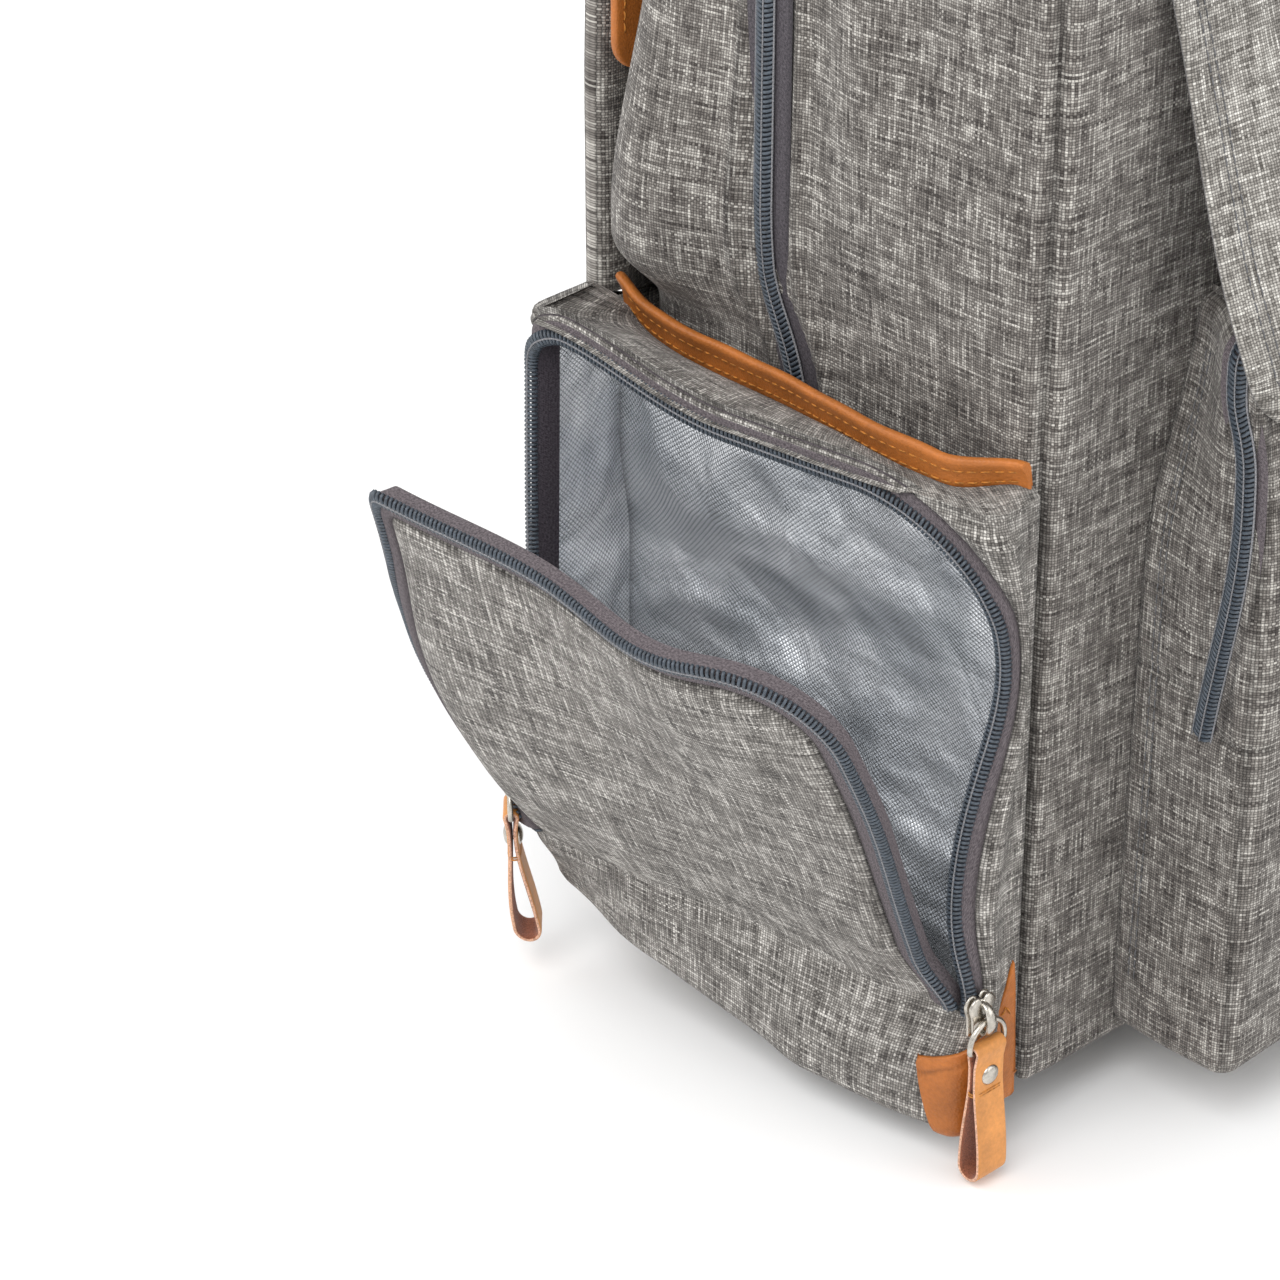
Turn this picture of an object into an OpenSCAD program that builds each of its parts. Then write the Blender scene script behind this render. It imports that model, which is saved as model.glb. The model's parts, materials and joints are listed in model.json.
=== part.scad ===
// Baby care backpack with insulated side pockets, a lidded front pocket and padded straps.
// Units are millimetres. +Z is up, -Y is the front, and the origin is on the ground under the centre.

/* [Body] */
// Width of the main body, side to side
body_w = 280; // [270:2:300]
// Depth of the main body, front to back
body_d = 155; // [150:1:165]
// Height of the main body above its bottom seam
body_h = 420; // [410:2:440]
// Height of the bottom seam above the ground, taken up by the crowned base
base_lift = 15; // [14:0.5:18]
// Thickness of the padded cloth walls
wall = 4; // [3:0.5:5]

/* [Side pockets] */
// Height of the pockets above the bottom seam
pocket_h = 190; // [186:1:196]
// How far a pocket stands out of the side at the front
pocket_front_out = 20; // [19:1:24]
// How far a pocket stands out of the side at the back
pocket_back_out = 44; // [40:1:50]
// Height of the door's hinge line above the bottom seam
door_base = 38; // [36:1:42]
// Height of the arched door
door_h = 147; // [140:1:148]
// Width of the arched door
door_w = 138; // [130:1:138]
// Radius of the door's upper corner at the front
door_r = 45; // [35:1:50]
// Radius of the door's upper corner at the back
door_r_back = 24; // [20:1:50]
// How far the left door stands open
door_open = 24; // [0:1:40]

/* [Front pocket] */
// Width of the front pocket
front_w = 202; // [190:2:206]
// Depth of the front pocket
front_d = 42; // [38:1:46]
// Height of the front pocket's mouth above the bottom seam
front_h = 228; // [220:1:232]
// Height of the lid's hinge line above the bottom seam
lid_z = 358; // [352:1:364]

/* [Straps and handle] */
// Width of a padded shoulder strap
strap_w = 64; // [56:1:66]
// Thickness of a padded shoulder strap
strap_t = 11; // [8:0.5:12]
// Span of the carry handle between its pivots
handle_span = 104; // [90:2:110]

/* [Zips] */
// Width of a closed zip chain
chain_w = 7.2; // [6:0.2:7.4]
// Width of a zip's tape
tape_w = 24; // [20:1:26]
// Width of the leather pulls
pull_w = 11; // [9:0.5:11]

/* [Hidden] */
$fn = 32;

// Colours
cloth = "#7d7873";
lid_cloth = "#a5a29b";
tape_grey = "#5f585c";
coil_grey = "#505f69";
leather = "#b96e2d";
pull_leather = "#d7965a";
nickel = "#c8c3b9";
foil = "#96a0a3";
lining_grey = "#8d8a88";
board_grey = "#3c3a3a";
buckle_black = "#3b3d40";

// Clearance between neighbouring pieces
gap = 0.3;
half_w = body_w / 2;
half_d = body_d / 2;
// Plan radius of the body's upright corners, and radius of its top side edges
corner_r = 24;
top_r = 30;
base_t = 4;
// The base's crown stops short of the bottom seam, and slopes in to its flat foot
pad_top = base_lift - 0.2;
pad_side = [36, 12];
pad_end = [30, 8];
zip_y = half_d - 56;
split_y = zip_y - 8;
main_zip_low = pocket_h - 7;
main_zip_top = body_h - top_r - gap;
board_t = 3;
divider_w = 248;
divider_t = 3;
divider_y = 56;
divider_top = 300;
panel_t = 3.5;
panel_hinge_y = -half_d + wall + 0.3;

// Side pocket plan: the outer face runs at an angle to the body's side
skin = 3;
face_a = atan((pocket_back_out - pocket_front_out) / body_d);
face_len = body_d / cos(face_a);
pocket_r_front = 6;
pocket_r_back = 8;
slip_z = 130;
slip_front = 9.5;
slip_back = 4.5;
door_t = 4.5;
door_axis_z = door_base - 0.2;
foil_t = 1;
coil_edge_w = 3.6;
band_h = 8.8;
band_t = 2.4;
patch_t = 0.9;

// Front pocket
front_z = 6;
front_y = -half_d - front_d;
gusset_low = [-half_d - 20, 111];
gusset_high = [-half_d - 28, 213];
mouth_half = front_w / 2 - 8;
lid_w = front_w + 3;
lid_t = 3;
snap_x = 62;
snap_z = 213;

// Back panel, yoke and straps
back_low = 30;
back_top = body_h - 20;
back_r = 30;
panel_back_y = half_d + 8.2;
yoke_z = [403, 414];
yoke_half = [96, 80];
strap_top_z = 396;
strap_end_z = 180;
strap_x_top = 62;
strap_x_low = 98;
strap_bow = 6.5;
adjuster_half = 18;
adjuster_y = [93, 97];
adjuster_h = 19.6;
slot_h = 4.4;
webbing_w = 25;
webbing_t = 2;
webbing_y = [87, 94];
anchor_z = [12, 24, 40];
anchor_d = 11.2;
tab_x = 127;
tab_half = 10;
tab_z = [262, 366];
tab_t = 3;

// Carry handle
handle_y = half_d - 22.5;
handle_r = 6;
handle_bend = 22;
handle_rise = 14;
pin_r = 2;
pivot_h = 8;
anchor_plate_half = 8.8;

// Zip slider and pull, in a frame with +X out of the cloth and +Z along the zip
slider_t = 3;
pivot_x = 4.9;
ring_r = 6.6;
wire_r = 0.9;
bar_z = -8.5;
pull_len = 51;
loop_half = 4.2;
side_slider_off = 1.4;
coil_slider_off = 1.9;
slider_z = door_base;
rear_slider_z = door_base + 11;

function arc(cx, cy, r, a0, a1, n = 6) =
  [for (i = [0:n]) let (a = a0 + (a1 - a0) * i / n) [cx + r * cos(a), cy + r * sin(a)]];

function rounded_rect(w, d, r) = concat(
  arc(w / 2 - r, d / 2 - r, r, 0, 90),
  arc(-w / 2 + r, d / 2 - r, r, 90, 180),
  arc(-w / 2 + r, -d / 2 + r, r, 180, 270),
  arc(w / 2 - r, -d / 2 + r, r, 270, 360)
);

// Arch with upper corners of radius r on its -X side and r1 on its +X side
function arch(w, h, r, r1) = concat(
  [[w / 2, 0]], arc(w / 2 - r1, h - r1, r1, 0, 90), arc(-w / 2 + r, h - r, r, 90, 180), [[-w / 2, 0]]
);

// Symmetric shape with half-width w0 at height z0 and w1 at height z1
function trapezium(w0, w1, z0, z1) = [[-w0, z0], [w0, z0], [w1, z1], [-w1, z1]];

// X of the side pocket's outer face at depth y, moved inwards by d
function face_x(y, d) =
  half_w + pocket_front_out + (y + half_d) * tan(face_a) - d / cos(face_a);

// X of the slip pocket's outer side at depth y
function slip_x(y) = half_w + slip_front - (y + half_d) * (slip_front - slip_back) / body_d;

// Plan of the right side pocket, inset by d, with its inner edge at x0 (front) and x1 (back)
function pocket_plan(x0, x1, d) = concat(
  [[x0, -half_d + d]],
  arc(face_x(-half_d + pocket_r_front, pocket_r_front), -half_d + pocket_r_front,
      pocket_r_front - d, -90, -face_a),
  arc(face_x(half_d - pocket_r_back, pocket_r_back), half_d - pocket_r_back,
      pocket_r_back - d, -face_a, 90),
  [[x1, half_d - d]]
);

// Middle line of a shoulder strap at t from 0 (top) to 1 (lower end)
function strap_y(t) = panel_back_y + strap_t / 2 + gap + strap_bow * sin(min(90, 300 * t));
function strap_x(t) = strap_x_top + (strap_x_low - strap_x_top) * (1 - cos(min(180, 450 * t))) / 2;
function strap_z(t) = strap_top_z - (strap_top_z - strap_end_z) * t;

// Places its children on the bag's bottom seam
module lifted() translate([0, 0, base_lift]) children();

// Draws the children, made for the right side, on side s (-1 left, 1 right)
module on_side(s) lifted() mirror([s < 0 ? 1 : 0, 0, 0]) children();

// Side pocket frame: +X out of the outer face, +Y towards the back, +Z up
module face_frame() translate([half_w + pocket_front_out, -half_d, 0]) rotate([0, 0, -face_a]) children();

// Extrudes an outline given in (X, Z) from y0 to y1
module xz_slab(y0, y1) translate([0, y1, 0]) rotate([90, 0, 0]) linear_extrude(y1 - y0) children();

// Extrudes an outline given in (Y, Z) from x0 to x1
module yz_slab(x0, x1) translate([x0, 0, 0]) rotate([90, 0, 90]) linear_extrude(x1 - x0) children();

module block(x0, x1, y0, y1, z0, z1) translate([x0, y0, z0]) cube([x1 - x0, y1 - y0, z1 - z0]);

// ---- Body ----

module body_solid(d) intersection() {
  linear_extrude(body_h + 1) polygon(rounded_rect(body_w - 2 * d, body_d - 2 * d, corner_r - d));
  xz_slab(-half_d, half_d) polygon(arch(body_w - 2 * d, body_h - d, top_r - d, top_r - d));
}

module body_shell() color(cloth) lifted() difference() {
  body_solid(0);
  intersection() {
    body_solid(wall);
    block(-half_w, half_w, -half_d, half_d, base_t, body_h);
  }
  block(-half_w - 1, half_w + 1, -half_d + wall, split_y, body_h - top_r, body_h + 1);
}

module base_pad() color(cloth) intersection() {
  xz_slab(-half_d, half_d)
    polygon(trapezium(half_w - pad_side[0], half_w - pad_side[1], 0, pad_top));
  yz_slab(-half_w, half_w)
    polygon(trapezium(half_d - pad_end[0], half_d - pad_end[1], 0, pad_top));
}

module base_board() color(board_grey) lifted() translate([0, 0, base_t + 0.2])
  linear_extrude(board_t) polygon(rounded_rect(body_w - 2 * wall - 6, body_d - 2 * wall - 6, corner_r - 8));

module back_panel() color(cloth) lifted() translate([0, 0, (back_low + back_top) / 2])
  xz_slab(half_d + 0.2, panel_back_y) polygon(rounded_rect(body_w - 36, back_top - back_low, back_r));

module sleeve_divider() color(lining_grey) lifted()
  block(-divider_w / 2, divider_w / 2, divider_y, divider_y + divider_t, base_t + board_t + 1, divider_top);

module main_zip(s) color(coil_grey) on_side(s) union() {
  block(half_w + 0.2, half_w + 1, zip_y - tape_w / 2, zip_y + tape_w / 2, main_zip_low, main_zip_top);
  block(half_w + 0.9, half_w + 2.4, zip_y - chain_w / 2, zip_y + chain_w / 2, main_zip_low, main_zip_top);
}

// Band of the body's arched outline between heights d0 and d1 above the cloth, from y0 to y1
module top_band(d0, d1, y0, y1) intersection() {
  xz_slab(y0, y1) difference() {
    polygon(arch(body_w + 2 * d1, body_h + d1, top_r + d1, top_r + d1));
    polygon(arch(body_w + 2 * d0, body_h + d0, top_r + d0, top_r + d0));
  }
  block(-half_w - 5, half_w + 5, y0, y1, body_h - top_r, body_h + 5);
}

module top_zip() color(coil_grey) lifted() union() {
  top_band(0.2, 1, split_y + 0.3, zip_y + tape_w / 2);
  top_band(0.9, 2.4, zip_y - chain_w / 2, zip_y + chain_w / 2);
}

// ---- Straps ----

module strap_yoke() color(cloth) lifted() xz_slab(half_d + 0.3, panel_back_y + 4)
  polygon(trapezium(yoke_half[0], yoke_half[1], yoke_z[0], yoke_z[1]));

module strap(s) color(cloth) on_side(s) intersection() {
  yz_slab(0, half_w) polygon(concat(
    [for (i = [0:12]) [strap_y(i / 12) + strap_t / 2, strap_z(i / 12)]],
    [for (i = [12:-1:0]) [strap_y(i / 12) - strap_t / 2, strap_z(i / 12)]]
  ));
  xz_slab(half_d, half_d + 40) polygon(concat(
    [for (i = [0:12]) [strap_x(i / 12) + strap_w / 2, strap_z(i / 12)]],
    [for (i = [12:-1:0]) [strap_x(i / 12) - strap_w / 2, strap_z(i / 12)]]
  ));
}

// Three-bar buckle below each strap
module strap_adjusters() color(buckle_black) for (s = [-1, 1]) on_side(s) difference() {
  block(strap_x_low - adjuster_half, strap_x_low + adjuster_half, adjuster_y[0], adjuster_y[1],
        strap_end_z - 0.4 - adjuster_h, strap_end_z - 0.4);
  for (z = [strap_end_z - 16.5, strap_end_z - 8])
    block(strap_x_low - webbing_w / 2 - 1, strap_x_low + webbing_w / 2 + 1,
          adjuster_y[0] - 1, adjuster_y[1] + 1, z, z + slot_h);
}

module strap_webbings() color(tape_grey) for (s = [-1, 1]) on_side(s)
  yz_slab(strap_x_low - webbing_w / 2, strap_x_low + webbing_w / 2) polygon([
    [webbing_y[1], strap_end_z - adjuster_h - 0.8],
    [webbing_y[1] + webbing_t, strap_end_z - adjuster_h - 0.8],
    [webbing_y[0] + webbing_t, anchor_z[2] + 0.4], [webbing_y[0], anchor_z[2] + 0.4]
  ]);

// Cloth wedge that the webbing's lower end is sewn to
module strap_anchors() color(cloth) lifted() for (s = [-1, 1])
  xz_slab(half_d + gap, half_d + gap + anchor_d)
    polygon([[s * 60, anchor_z[0]], [s * 122, anchor_z[0]], [s * 112, anchor_z[1]], [s * 84, anchor_z[1]]]);

module side_tab(s) color(leather) on_side(s) xz_slab(panel_back_y + gap, panel_back_y + gap + tab_t)
  polygon(concat(
    [[tab_x + tab_half, tab_z[0]], [tab_x + tab_half, tab_z[1]], [tab_x - tab_half, tab_z[1]]],
    arc(tab_x, tab_z[0], tab_half, 180, 360)
  ));

module handle_anchors() color(nickel) lifted() for (s = [-1, 1])
  translate([s * handle_span / 2, handle_y, body_h]) {
    block(-13, 13, -anchor_plate_half, anchor_plate_half, 0.2, 1.8);
    for (e = [-1, 1])
      translate([e * 8, 0, 0]) rotate([0, 90, 0]) linear_extrude(1.6, center = true)
        polygon(concat([[-1.7, -4], [-1.7, 4]], arc(-pivot_h, 0, 4, 90, 270)));
    translate([-8, 0, pivot_h]) rotate([0, 90, 0]) cylinder(h = 16, r = pin_r);
  }

// Carry handle: a round grip with an eye at each end
module carry_handle() color(leather) lifted() translate([0, handle_y, body_h + pivot_h]) difference() {
  union() {
    for (s = [-1, 1]) translate([s * handle_span / 2, 0, 0]) {
      translate([-6.6, 0, 0]) rotate([0, 90, 0]) cylinder(h = 13.2, r = 5);
      cylinder(h = handle_rise, r = handle_r - 0.6);
      translate([-s * handle_bend, 0, handle_rise]) rotate([90, 0, 0])
        rotate([0, 0, s > 0 ? 0 : 90]) rotate_extrude(angle = 90)
          translate([handle_bend, 0]) circle(handle_r);
    }
    translate([-handle_span / 2 + handle_bend, 0, handle_rise + handle_bend]) rotate([0, 90, 0])
      cylinder(h = handle_span - 2 * handle_bend, r = handle_r);
  }
  translate([-handle_span / 2 - 10, 0, 0]) rotate([0, 90, 0])
    cylinder(h = handle_span + 20, r = pin_r + 0.3);
}

// ---- Top panel ----

module top_panel() color(cloth) lifted() intersection() {
  difference() {
    body_solid(0);
    body_solid(panel_t);
  }
  block(-half_w, half_w, panel_hinge_y + gap, split_y - gap, body_h - top_r + gap, body_h + 1);
}

module top_panel_tape() color(tape_grey) lifted() intersection() {
  top_band(0.2, 1, split_y - 10, split_y - gap);
  block(-half_w - 5, half_w + 5, -half_d, half_d, body_h - top_r + gap, body_h + 5);
}

// ---- Front pocket and lid ----

// The slot in its roof is the mouth that the zip closes
module front_pocket() color(cloth) lifted() difference() {
  block(-front_w / 2, front_w / 2, front_y, -half_d - 0.2, front_z, front_h);
  block(-front_w / 2 + skin, front_w / 2 - skin, front_y + skin, -half_d - skin,
    front_z + skin, front_h - skin);
  block(-mouth_half, mouth_half, gusset_high[0] - 2, gusset_high[0] + 2, front_h - skin - 1, front_h + 1);
}

// Zip of the front pocket: up its side, leaning forwards, then over its roof to the middle
module gusset_zip(s) color(coil_grey) on_side(s) {
  yz_slab(front_w / 2 + 0.2, front_w / 2 + 1.6) polygon([
    [gusset_low[0] - chain_w / 2, gusset_low[1]], [gusset_low[0] + chain_w / 2, gusset_low[1]],
    [gusset_high[0] + chain_w / 2, gusset_high[1]], [gusset_high[0] + chain_w / 2, front_h + 1.6],
    [gusset_high[0] - chain_w / 2, front_h + 1.6], [gusset_high[0] - chain_w / 2, gusset_high[1]]
  ]);
  translate([0, gusset_high[0], 0])
    block(0.1, front_w / 2 + 0.9, -chain_w / 2, chain_w / 2, front_h + 0.2, front_h + 1.6);
}

module lid_seam_tape() color(tape_grey) lifted()
  block(-lid_w / 2, lid_w / 2, -half_d - 1.8, -half_d - 0.2, lid_z + 3, lid_z + 12);

module front_lid() color(lid_cloth) lifted() yz_slab(-lid_w / 2, lid_w / 2) polygon([
  [-half_d - 1, lid_z - 0.5], [-half_d - 1.4, lid_z - 32],
  [front_y - 3, front_h + 3], [front_y - 3, snap_z - 8],
  [front_y - 3 - lid_t, snap_z - 8], [front_y - 3 - lid_t, front_h + 4],
  [-half_d - 1.4 - lid_t, lid_z - 31], [-half_d - 1 - lid_t, lid_z - 0.5]
]);

module snap_disc(y0, y1, r) for (s = [-1, 1])
  translate([s * snap_x, y1, snap_z]) rotate([90, 0, 0]) cylinder(h = y1 - y0, r = r);

module snap_sockets() color(nickel) lifted() snap_disc(front_y - 1.3, front_y - 0.1, 8);

module snap_studs() color(nickel) lifted() snap_disc(front_y - 2.9, front_y - 1.6, 7);

// ---- Side pockets ----

// Room inside the right pocket, inset by d from its outside
module pocket_room(d) union() {
  translate([0, 0, d]) linear_extrude(slip_z - 2 * d)
    polygon(pocket_plan(half_w + d + 0.2, half_w + d + 0.2, d));
  translate([0, 0, slip_z - d - 0.5]) linear_extrude(pocket_h - slip_z + 0.5)
    polygon(pocket_plan(slip_x(-half_d) + d, slip_x(half_d) + d, d));
}

// Arched prism through the pocket's outer face, grown by d
module door_arch(d, x0, x1) face_frame() translate([x0, face_len / 2, door_base - d]) rotate([90, 0, 90])
  linear_extrude(x1 - x0) polygon(arch(door_w + 2 * d, door_h + 2 * d, door_r + d, door_r_back + d));

module pocket(s) color(cloth) on_side(s) difference() {
  linear_extrude(pocket_h) polygon(pocket_plan(half_w + 0.2, half_w + 0.2, 0));
  pocket_room(skin);
  translate([0, 0, slip_z]) linear_extrude(pocket_h)
    polygon([[half_w, -66], [slip_x(-66), -66], [slip_x(70), 70], [half_w, 70]]);
  door_arch(0.7, -skin - 6, 2);
}

module foil_liner(s) color(foil) on_side(s) difference() {
  pocket_room(skin + 0.2);
  pocket_room(skin + 0.2 + foil_t);
  door_arch(2.2, -skin - 8, 2);
}

module pocket_zip(s) color(coil_grey) on_side(s) difference() {
  door_arch(1 + coil_edge_w, 0.2, 1.8);
  door_arch(1, -1, 3);
  face_frame() block(-1, 3, 0, face_len, 0, door_base + 0.2);
}

module pocket_band(s) color(leather) on_side(s) translate([0, 0, pocket_h + 0.2]) linear_extrude(band_h)
  polygon([
    [slip_x(-76) + 0.3, -76], [slip_x(-76) + 0.3 + band_t, -76],
    [slip_x(72) + 0.3 + band_t, 72], [slip_x(72) + 0.3, 72]
  ]);

// Leather wrapped round the pocket's lower front corner
module corner_patch(s) color(leather) on_side(s) union() {
  face_frame() translate([0.1, 0, 0]) rotate([90, 0, 90]) linear_extrude(patch_t)
    polygon([[pocket_r_front, 0.3], [26, 0.3], [14, 30], [pocket_r_front, 36]]);
  xz_slab(-half_d - 0.1 - patch_t, -half_d - 0.1)
    polygon([
      [half_w + 2, 0.3], [half_w + pocket_front_out - 5, 0.3],
      [half_w + pocket_front_out - 5, 36], [half_w + 12, 36]
    ]);
}

// ---- Doors ----

// The right door's panel frame, turned open by a
module door_frame(s, a) on_side(s) face_frame() translate([0, face_len / 2, door_axis_z])
  rotate([0, a, 0]) translate([0, 0, door_base - door_axis_z + gap]) children();

// Arched outline of the door, inset by d, from x0 to x1
module door_slab(d, x0, x1) translate([x0, 0, d]) rotate([90, 0, 90])
  linear_extrude(x1 - x0) polygon(arch(door_w - 2 * d, door_h - gap - 2 * d, door_r - d, door_r_back - d));

module door(s, a) color(cloth) door_frame(s, a) door_slab(0, -door_t, 0);

module door_lining(s, a) color(foil) door_frame(s, a) door_slab(4, -door_t - 1, -door_t - 0.2);

module door_zip(s, a) color(coil_grey) door_frame(s, a) difference() {
  door_slab(0, 0.2, 1.8);
  door_slab(coil_edge_w, -1, 3);
  block(-1, 3, -door_w, door_w, -1, coil_edge_w + 0.5);
}

// ---- Sliders and pulls ----

module slider() difference() {
  union() {
    rotate([90, 0, 90]) linear_extrude(slider_t)
      polygon([[-2.6, -6], [2.6, -6], [4, -1], [4, 4], [2.4, 6.5], [-2.4, 6.5], [-4, 4], [-4, -1]]);
    xz_slab(-1.1, 1.1)
      polygon([[2.8, -5], [5, -4.4], [7.2, -2.2], [7.5, 0.4], [6.4, 2.8], [2.8, 4.6]]);
  }
  translate([pivot_x, 2, 0]) rotate([90, 0, 0]) cylinder(h = 4, r = 1.65);
}

// Wire ring and riveted leather loop, hanging from the slider's bridge
module pull() translate([pivot_x, 0, 0]) {
  color(nickel) union() {
    translate([0, 0, -ring_r]) rotate([90, 0, 90])
      rotate_extrude(angle = 180) translate([ring_r, 0]) circle(wire_r);
    for (s = [-1, 1]) translate([0, s * ring_r, bar_z]) {
      cylinder(h = -bar_z - ring_r, r = wire_r);
      sphere(wire_r);
    }
    translate([0, ring_r, bar_z]) rotate([90, 0, 0]) cylinder(h = 2 * ring_r, r = wire_r);
  }
  color(pull_leather) xz_slab(-pull_w / 2, pull_w / 2) difference() {
    polygon(concat(
      arc(0, bar_z, 2.4, -30, 210), [[-1.7, -13], [-1.7, -22], [-loop_half, -38]],
      arc(0, -pull_len + loop_half, loop_half, 180, 360), [[loop_half, -38], [1.7, -22], [1.7, -13]]
    ));
    polygon(concat([[0, -24], [-2.7, -38]], arc(0, -pull_len + loop_half, 2.7, 180, 360), [[2.7, -38]]));
    translate([0, bar_z]) circle(wire_r + 0.15);
  }
  color(nickel) for (s = [-1, 1])
    translate([s > 0 ? 1.8 : -2.9, 0, -17]) rotate([0, 90, 0]) cylinder(h = 1.1, r = 3);
}

// Slider seats on side s: the pocket's front corner, its rear corner, the front pocket's roof and the top
module front_seat(s) on_side(s)
  translate([half_w + pocket_front_out - 1.5, -half_d - side_slider_off, slider_z])
    rotate([0, 0, -90]) children();

module rear_seat(s) on_side(s)
  translate([face_x(half_d - pocket_r_back, pocket_r_back), half_d - pocket_r_back, rear_slider_z])
    rotate([0, 0, 43]) translate([pocket_r_back + side_slider_off, 0, 0]) children();

module gusset_seat(s) on_side(s)
  translate([7.5, gusset_high[0], front_h + coil_slider_off]) rotate([0, -90, 0]) children();

module top_seat(s) on_side(s) translate([7.5, zip_y, body_h + 2.6]) rotate([0, -90, 0]) children();

// ---- Draw ----

body_shell();
base_pad();
base_board();
back_panel();
sleeve_divider();
main_zip(-1);  // left_main_zip
main_zip(1);  // right_main_zip
top_zip();
strap_yoke();
strap(-1);  // left_strap
strap(1);  // right_strap
strap_webbings();
strap_adjusters();
strap_anchors();
side_tab(-1);  // left_side_tab
side_tab(1);  // right_side_tab
handle_anchors();
front_pocket();
gusset_zip(-1);  // left_gusset_zip
gusset_zip(1);  // right_gusset_zip
lid_seam_tape();
snap_sockets();
pocket(-1);  // left_pocket
pocket(1);  // right_pocket
foil_liner(-1);  // left_foil_liner
foil_liner(1);  // right_foil_liner
pocket_zip(-1);  // left_pocket_zip
pocket_zip(1);  // right_pocket_zip
pocket_band(-1);  // left_pocket_band
pocket_band(1);  // right_pocket_band
corner_patch(-1);  // left_corner_patch
corner_patch(1);  // right_corner_patch
door(-1, door_open);  // left_door
door_lining(-1, door_open);  // left_door_lining
door_zip(-1, door_open);  // left_door_zip
door(1, 0);  // right_door
door_lining(1, 0);  // right_door_lining
door_zip(1, 0);  // right_door_zip
front_lid();
snap_studs();
top_panel();
top_panel_tape();
carry_handle();
color(nickel) front_seat(-1) slider();  // left_front_slider
front_seat(-1) pull();  // left_front_pull
color(nickel) rear_seat(-1) slider();  // left_rear_slider
rear_seat(-1) pull();  // left_rear_pull
color(nickel) front_seat(1) slider();  // right_front_slider
front_seat(1) pull();  // right_front_pull
color(nickel) rear_seat(1) slider();  // right_rear_slider
rear_seat(1) pull();  // right_rear_pull
color(nickel) gusset_seat(-1) slider();  // left_gusset_slider
gusset_seat(-1) pull();  // left_gusset_pull
color(nickel) gusset_seat(1) slider();  // right_gusset_slider
gusset_seat(1) pull();  // right_gusset_pull
color(nickel) top_seat(-1) slider();  // left_top_slider
top_seat(-1) pull();  // left_top_pull
color(nickel) top_seat(1) slider();  // right_top_slider
top_seat(1) pull();  // right_top_pull
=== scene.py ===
"""Baby care backpack: cloth, leather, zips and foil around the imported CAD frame, in metres."""
import json
import math

import bmesh
import bpy
import numpy as np
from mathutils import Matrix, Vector


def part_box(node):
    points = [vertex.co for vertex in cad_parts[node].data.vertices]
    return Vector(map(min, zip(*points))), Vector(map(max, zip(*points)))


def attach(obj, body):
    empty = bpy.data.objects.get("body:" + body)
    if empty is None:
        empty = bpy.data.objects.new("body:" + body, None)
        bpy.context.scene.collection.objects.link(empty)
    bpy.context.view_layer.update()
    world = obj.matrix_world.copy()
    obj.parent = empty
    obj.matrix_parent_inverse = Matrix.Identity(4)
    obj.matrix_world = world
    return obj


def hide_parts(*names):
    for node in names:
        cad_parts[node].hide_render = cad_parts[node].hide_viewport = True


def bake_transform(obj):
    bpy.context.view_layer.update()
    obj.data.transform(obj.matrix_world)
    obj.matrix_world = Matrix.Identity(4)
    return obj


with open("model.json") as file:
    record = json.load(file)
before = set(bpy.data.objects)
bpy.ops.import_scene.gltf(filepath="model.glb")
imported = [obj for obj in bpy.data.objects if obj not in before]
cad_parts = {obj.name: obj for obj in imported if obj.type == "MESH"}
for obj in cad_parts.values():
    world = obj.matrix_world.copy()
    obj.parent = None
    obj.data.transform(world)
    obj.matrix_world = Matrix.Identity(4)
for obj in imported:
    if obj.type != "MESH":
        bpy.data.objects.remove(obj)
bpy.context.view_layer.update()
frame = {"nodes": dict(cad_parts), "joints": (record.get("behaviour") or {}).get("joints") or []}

MM = 0.001
LEFT, RIGHT = -1, 1
SIDE_NAME = {LEFT: "left", RIGHT: "right"}
joints = {j["name"]: j for j in frame["joints"]}
nodes = frame["nodes"]

# Driving dimensions, taken from the CAD frame where it has them
BODY_LOW, BODY_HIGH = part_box("body_shell")
HALF_W, HALF_D = BODY_HIGH.x, BODY_HIGH.y
SEAM_Z, TOP_Z = BODY_LOW.z, BODY_HIGH.z
POCKET_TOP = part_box("right_pocket")[1].z - SEAM_Z
HINGE_Z = joints["right_door_hinge"]["pos_m"][2] - SEAM_Z
FRONT_OUT = 20 * MM
BACK_OUT = 44 * MM
FACE_ANGLE = math.atan((BACK_OUT - FRONT_OUT) / (2 * HALF_D))
FACE_LEN = 2 * HALF_D / math.cos(FACE_ANGLE)
DOOR_HALF = 69 * MM
DOOR_TOP = 185 * MM
DOOR_R_FRONT = 34 * MM
DOOR_R_BACK = 13 * MM
ZIP_Y = HALF_D - 56 * MM
COIL_PITCH = 1.35 * MM
TAPE_EDGE = 8.6 * MM
THREAD = 0.8 * MM


# ---------------------------------------------------------------- numbers and noise

LATTICE = np.random.RandomState(11).rand(32, 32, 32) * 2 - 1


def ease(x, low=0.0, high=1.0):
    """Smooth step from 0 at low to 1 at high."""
    t = np.clip((np.asarray(x, float) - low) / (high - low), 0, 1)
    return t * t * (3 - 2 * t)


def bell(x, centre, width):
    return np.exp(-(((np.asarray(x, float) - centre) / width) ** 2))


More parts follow.
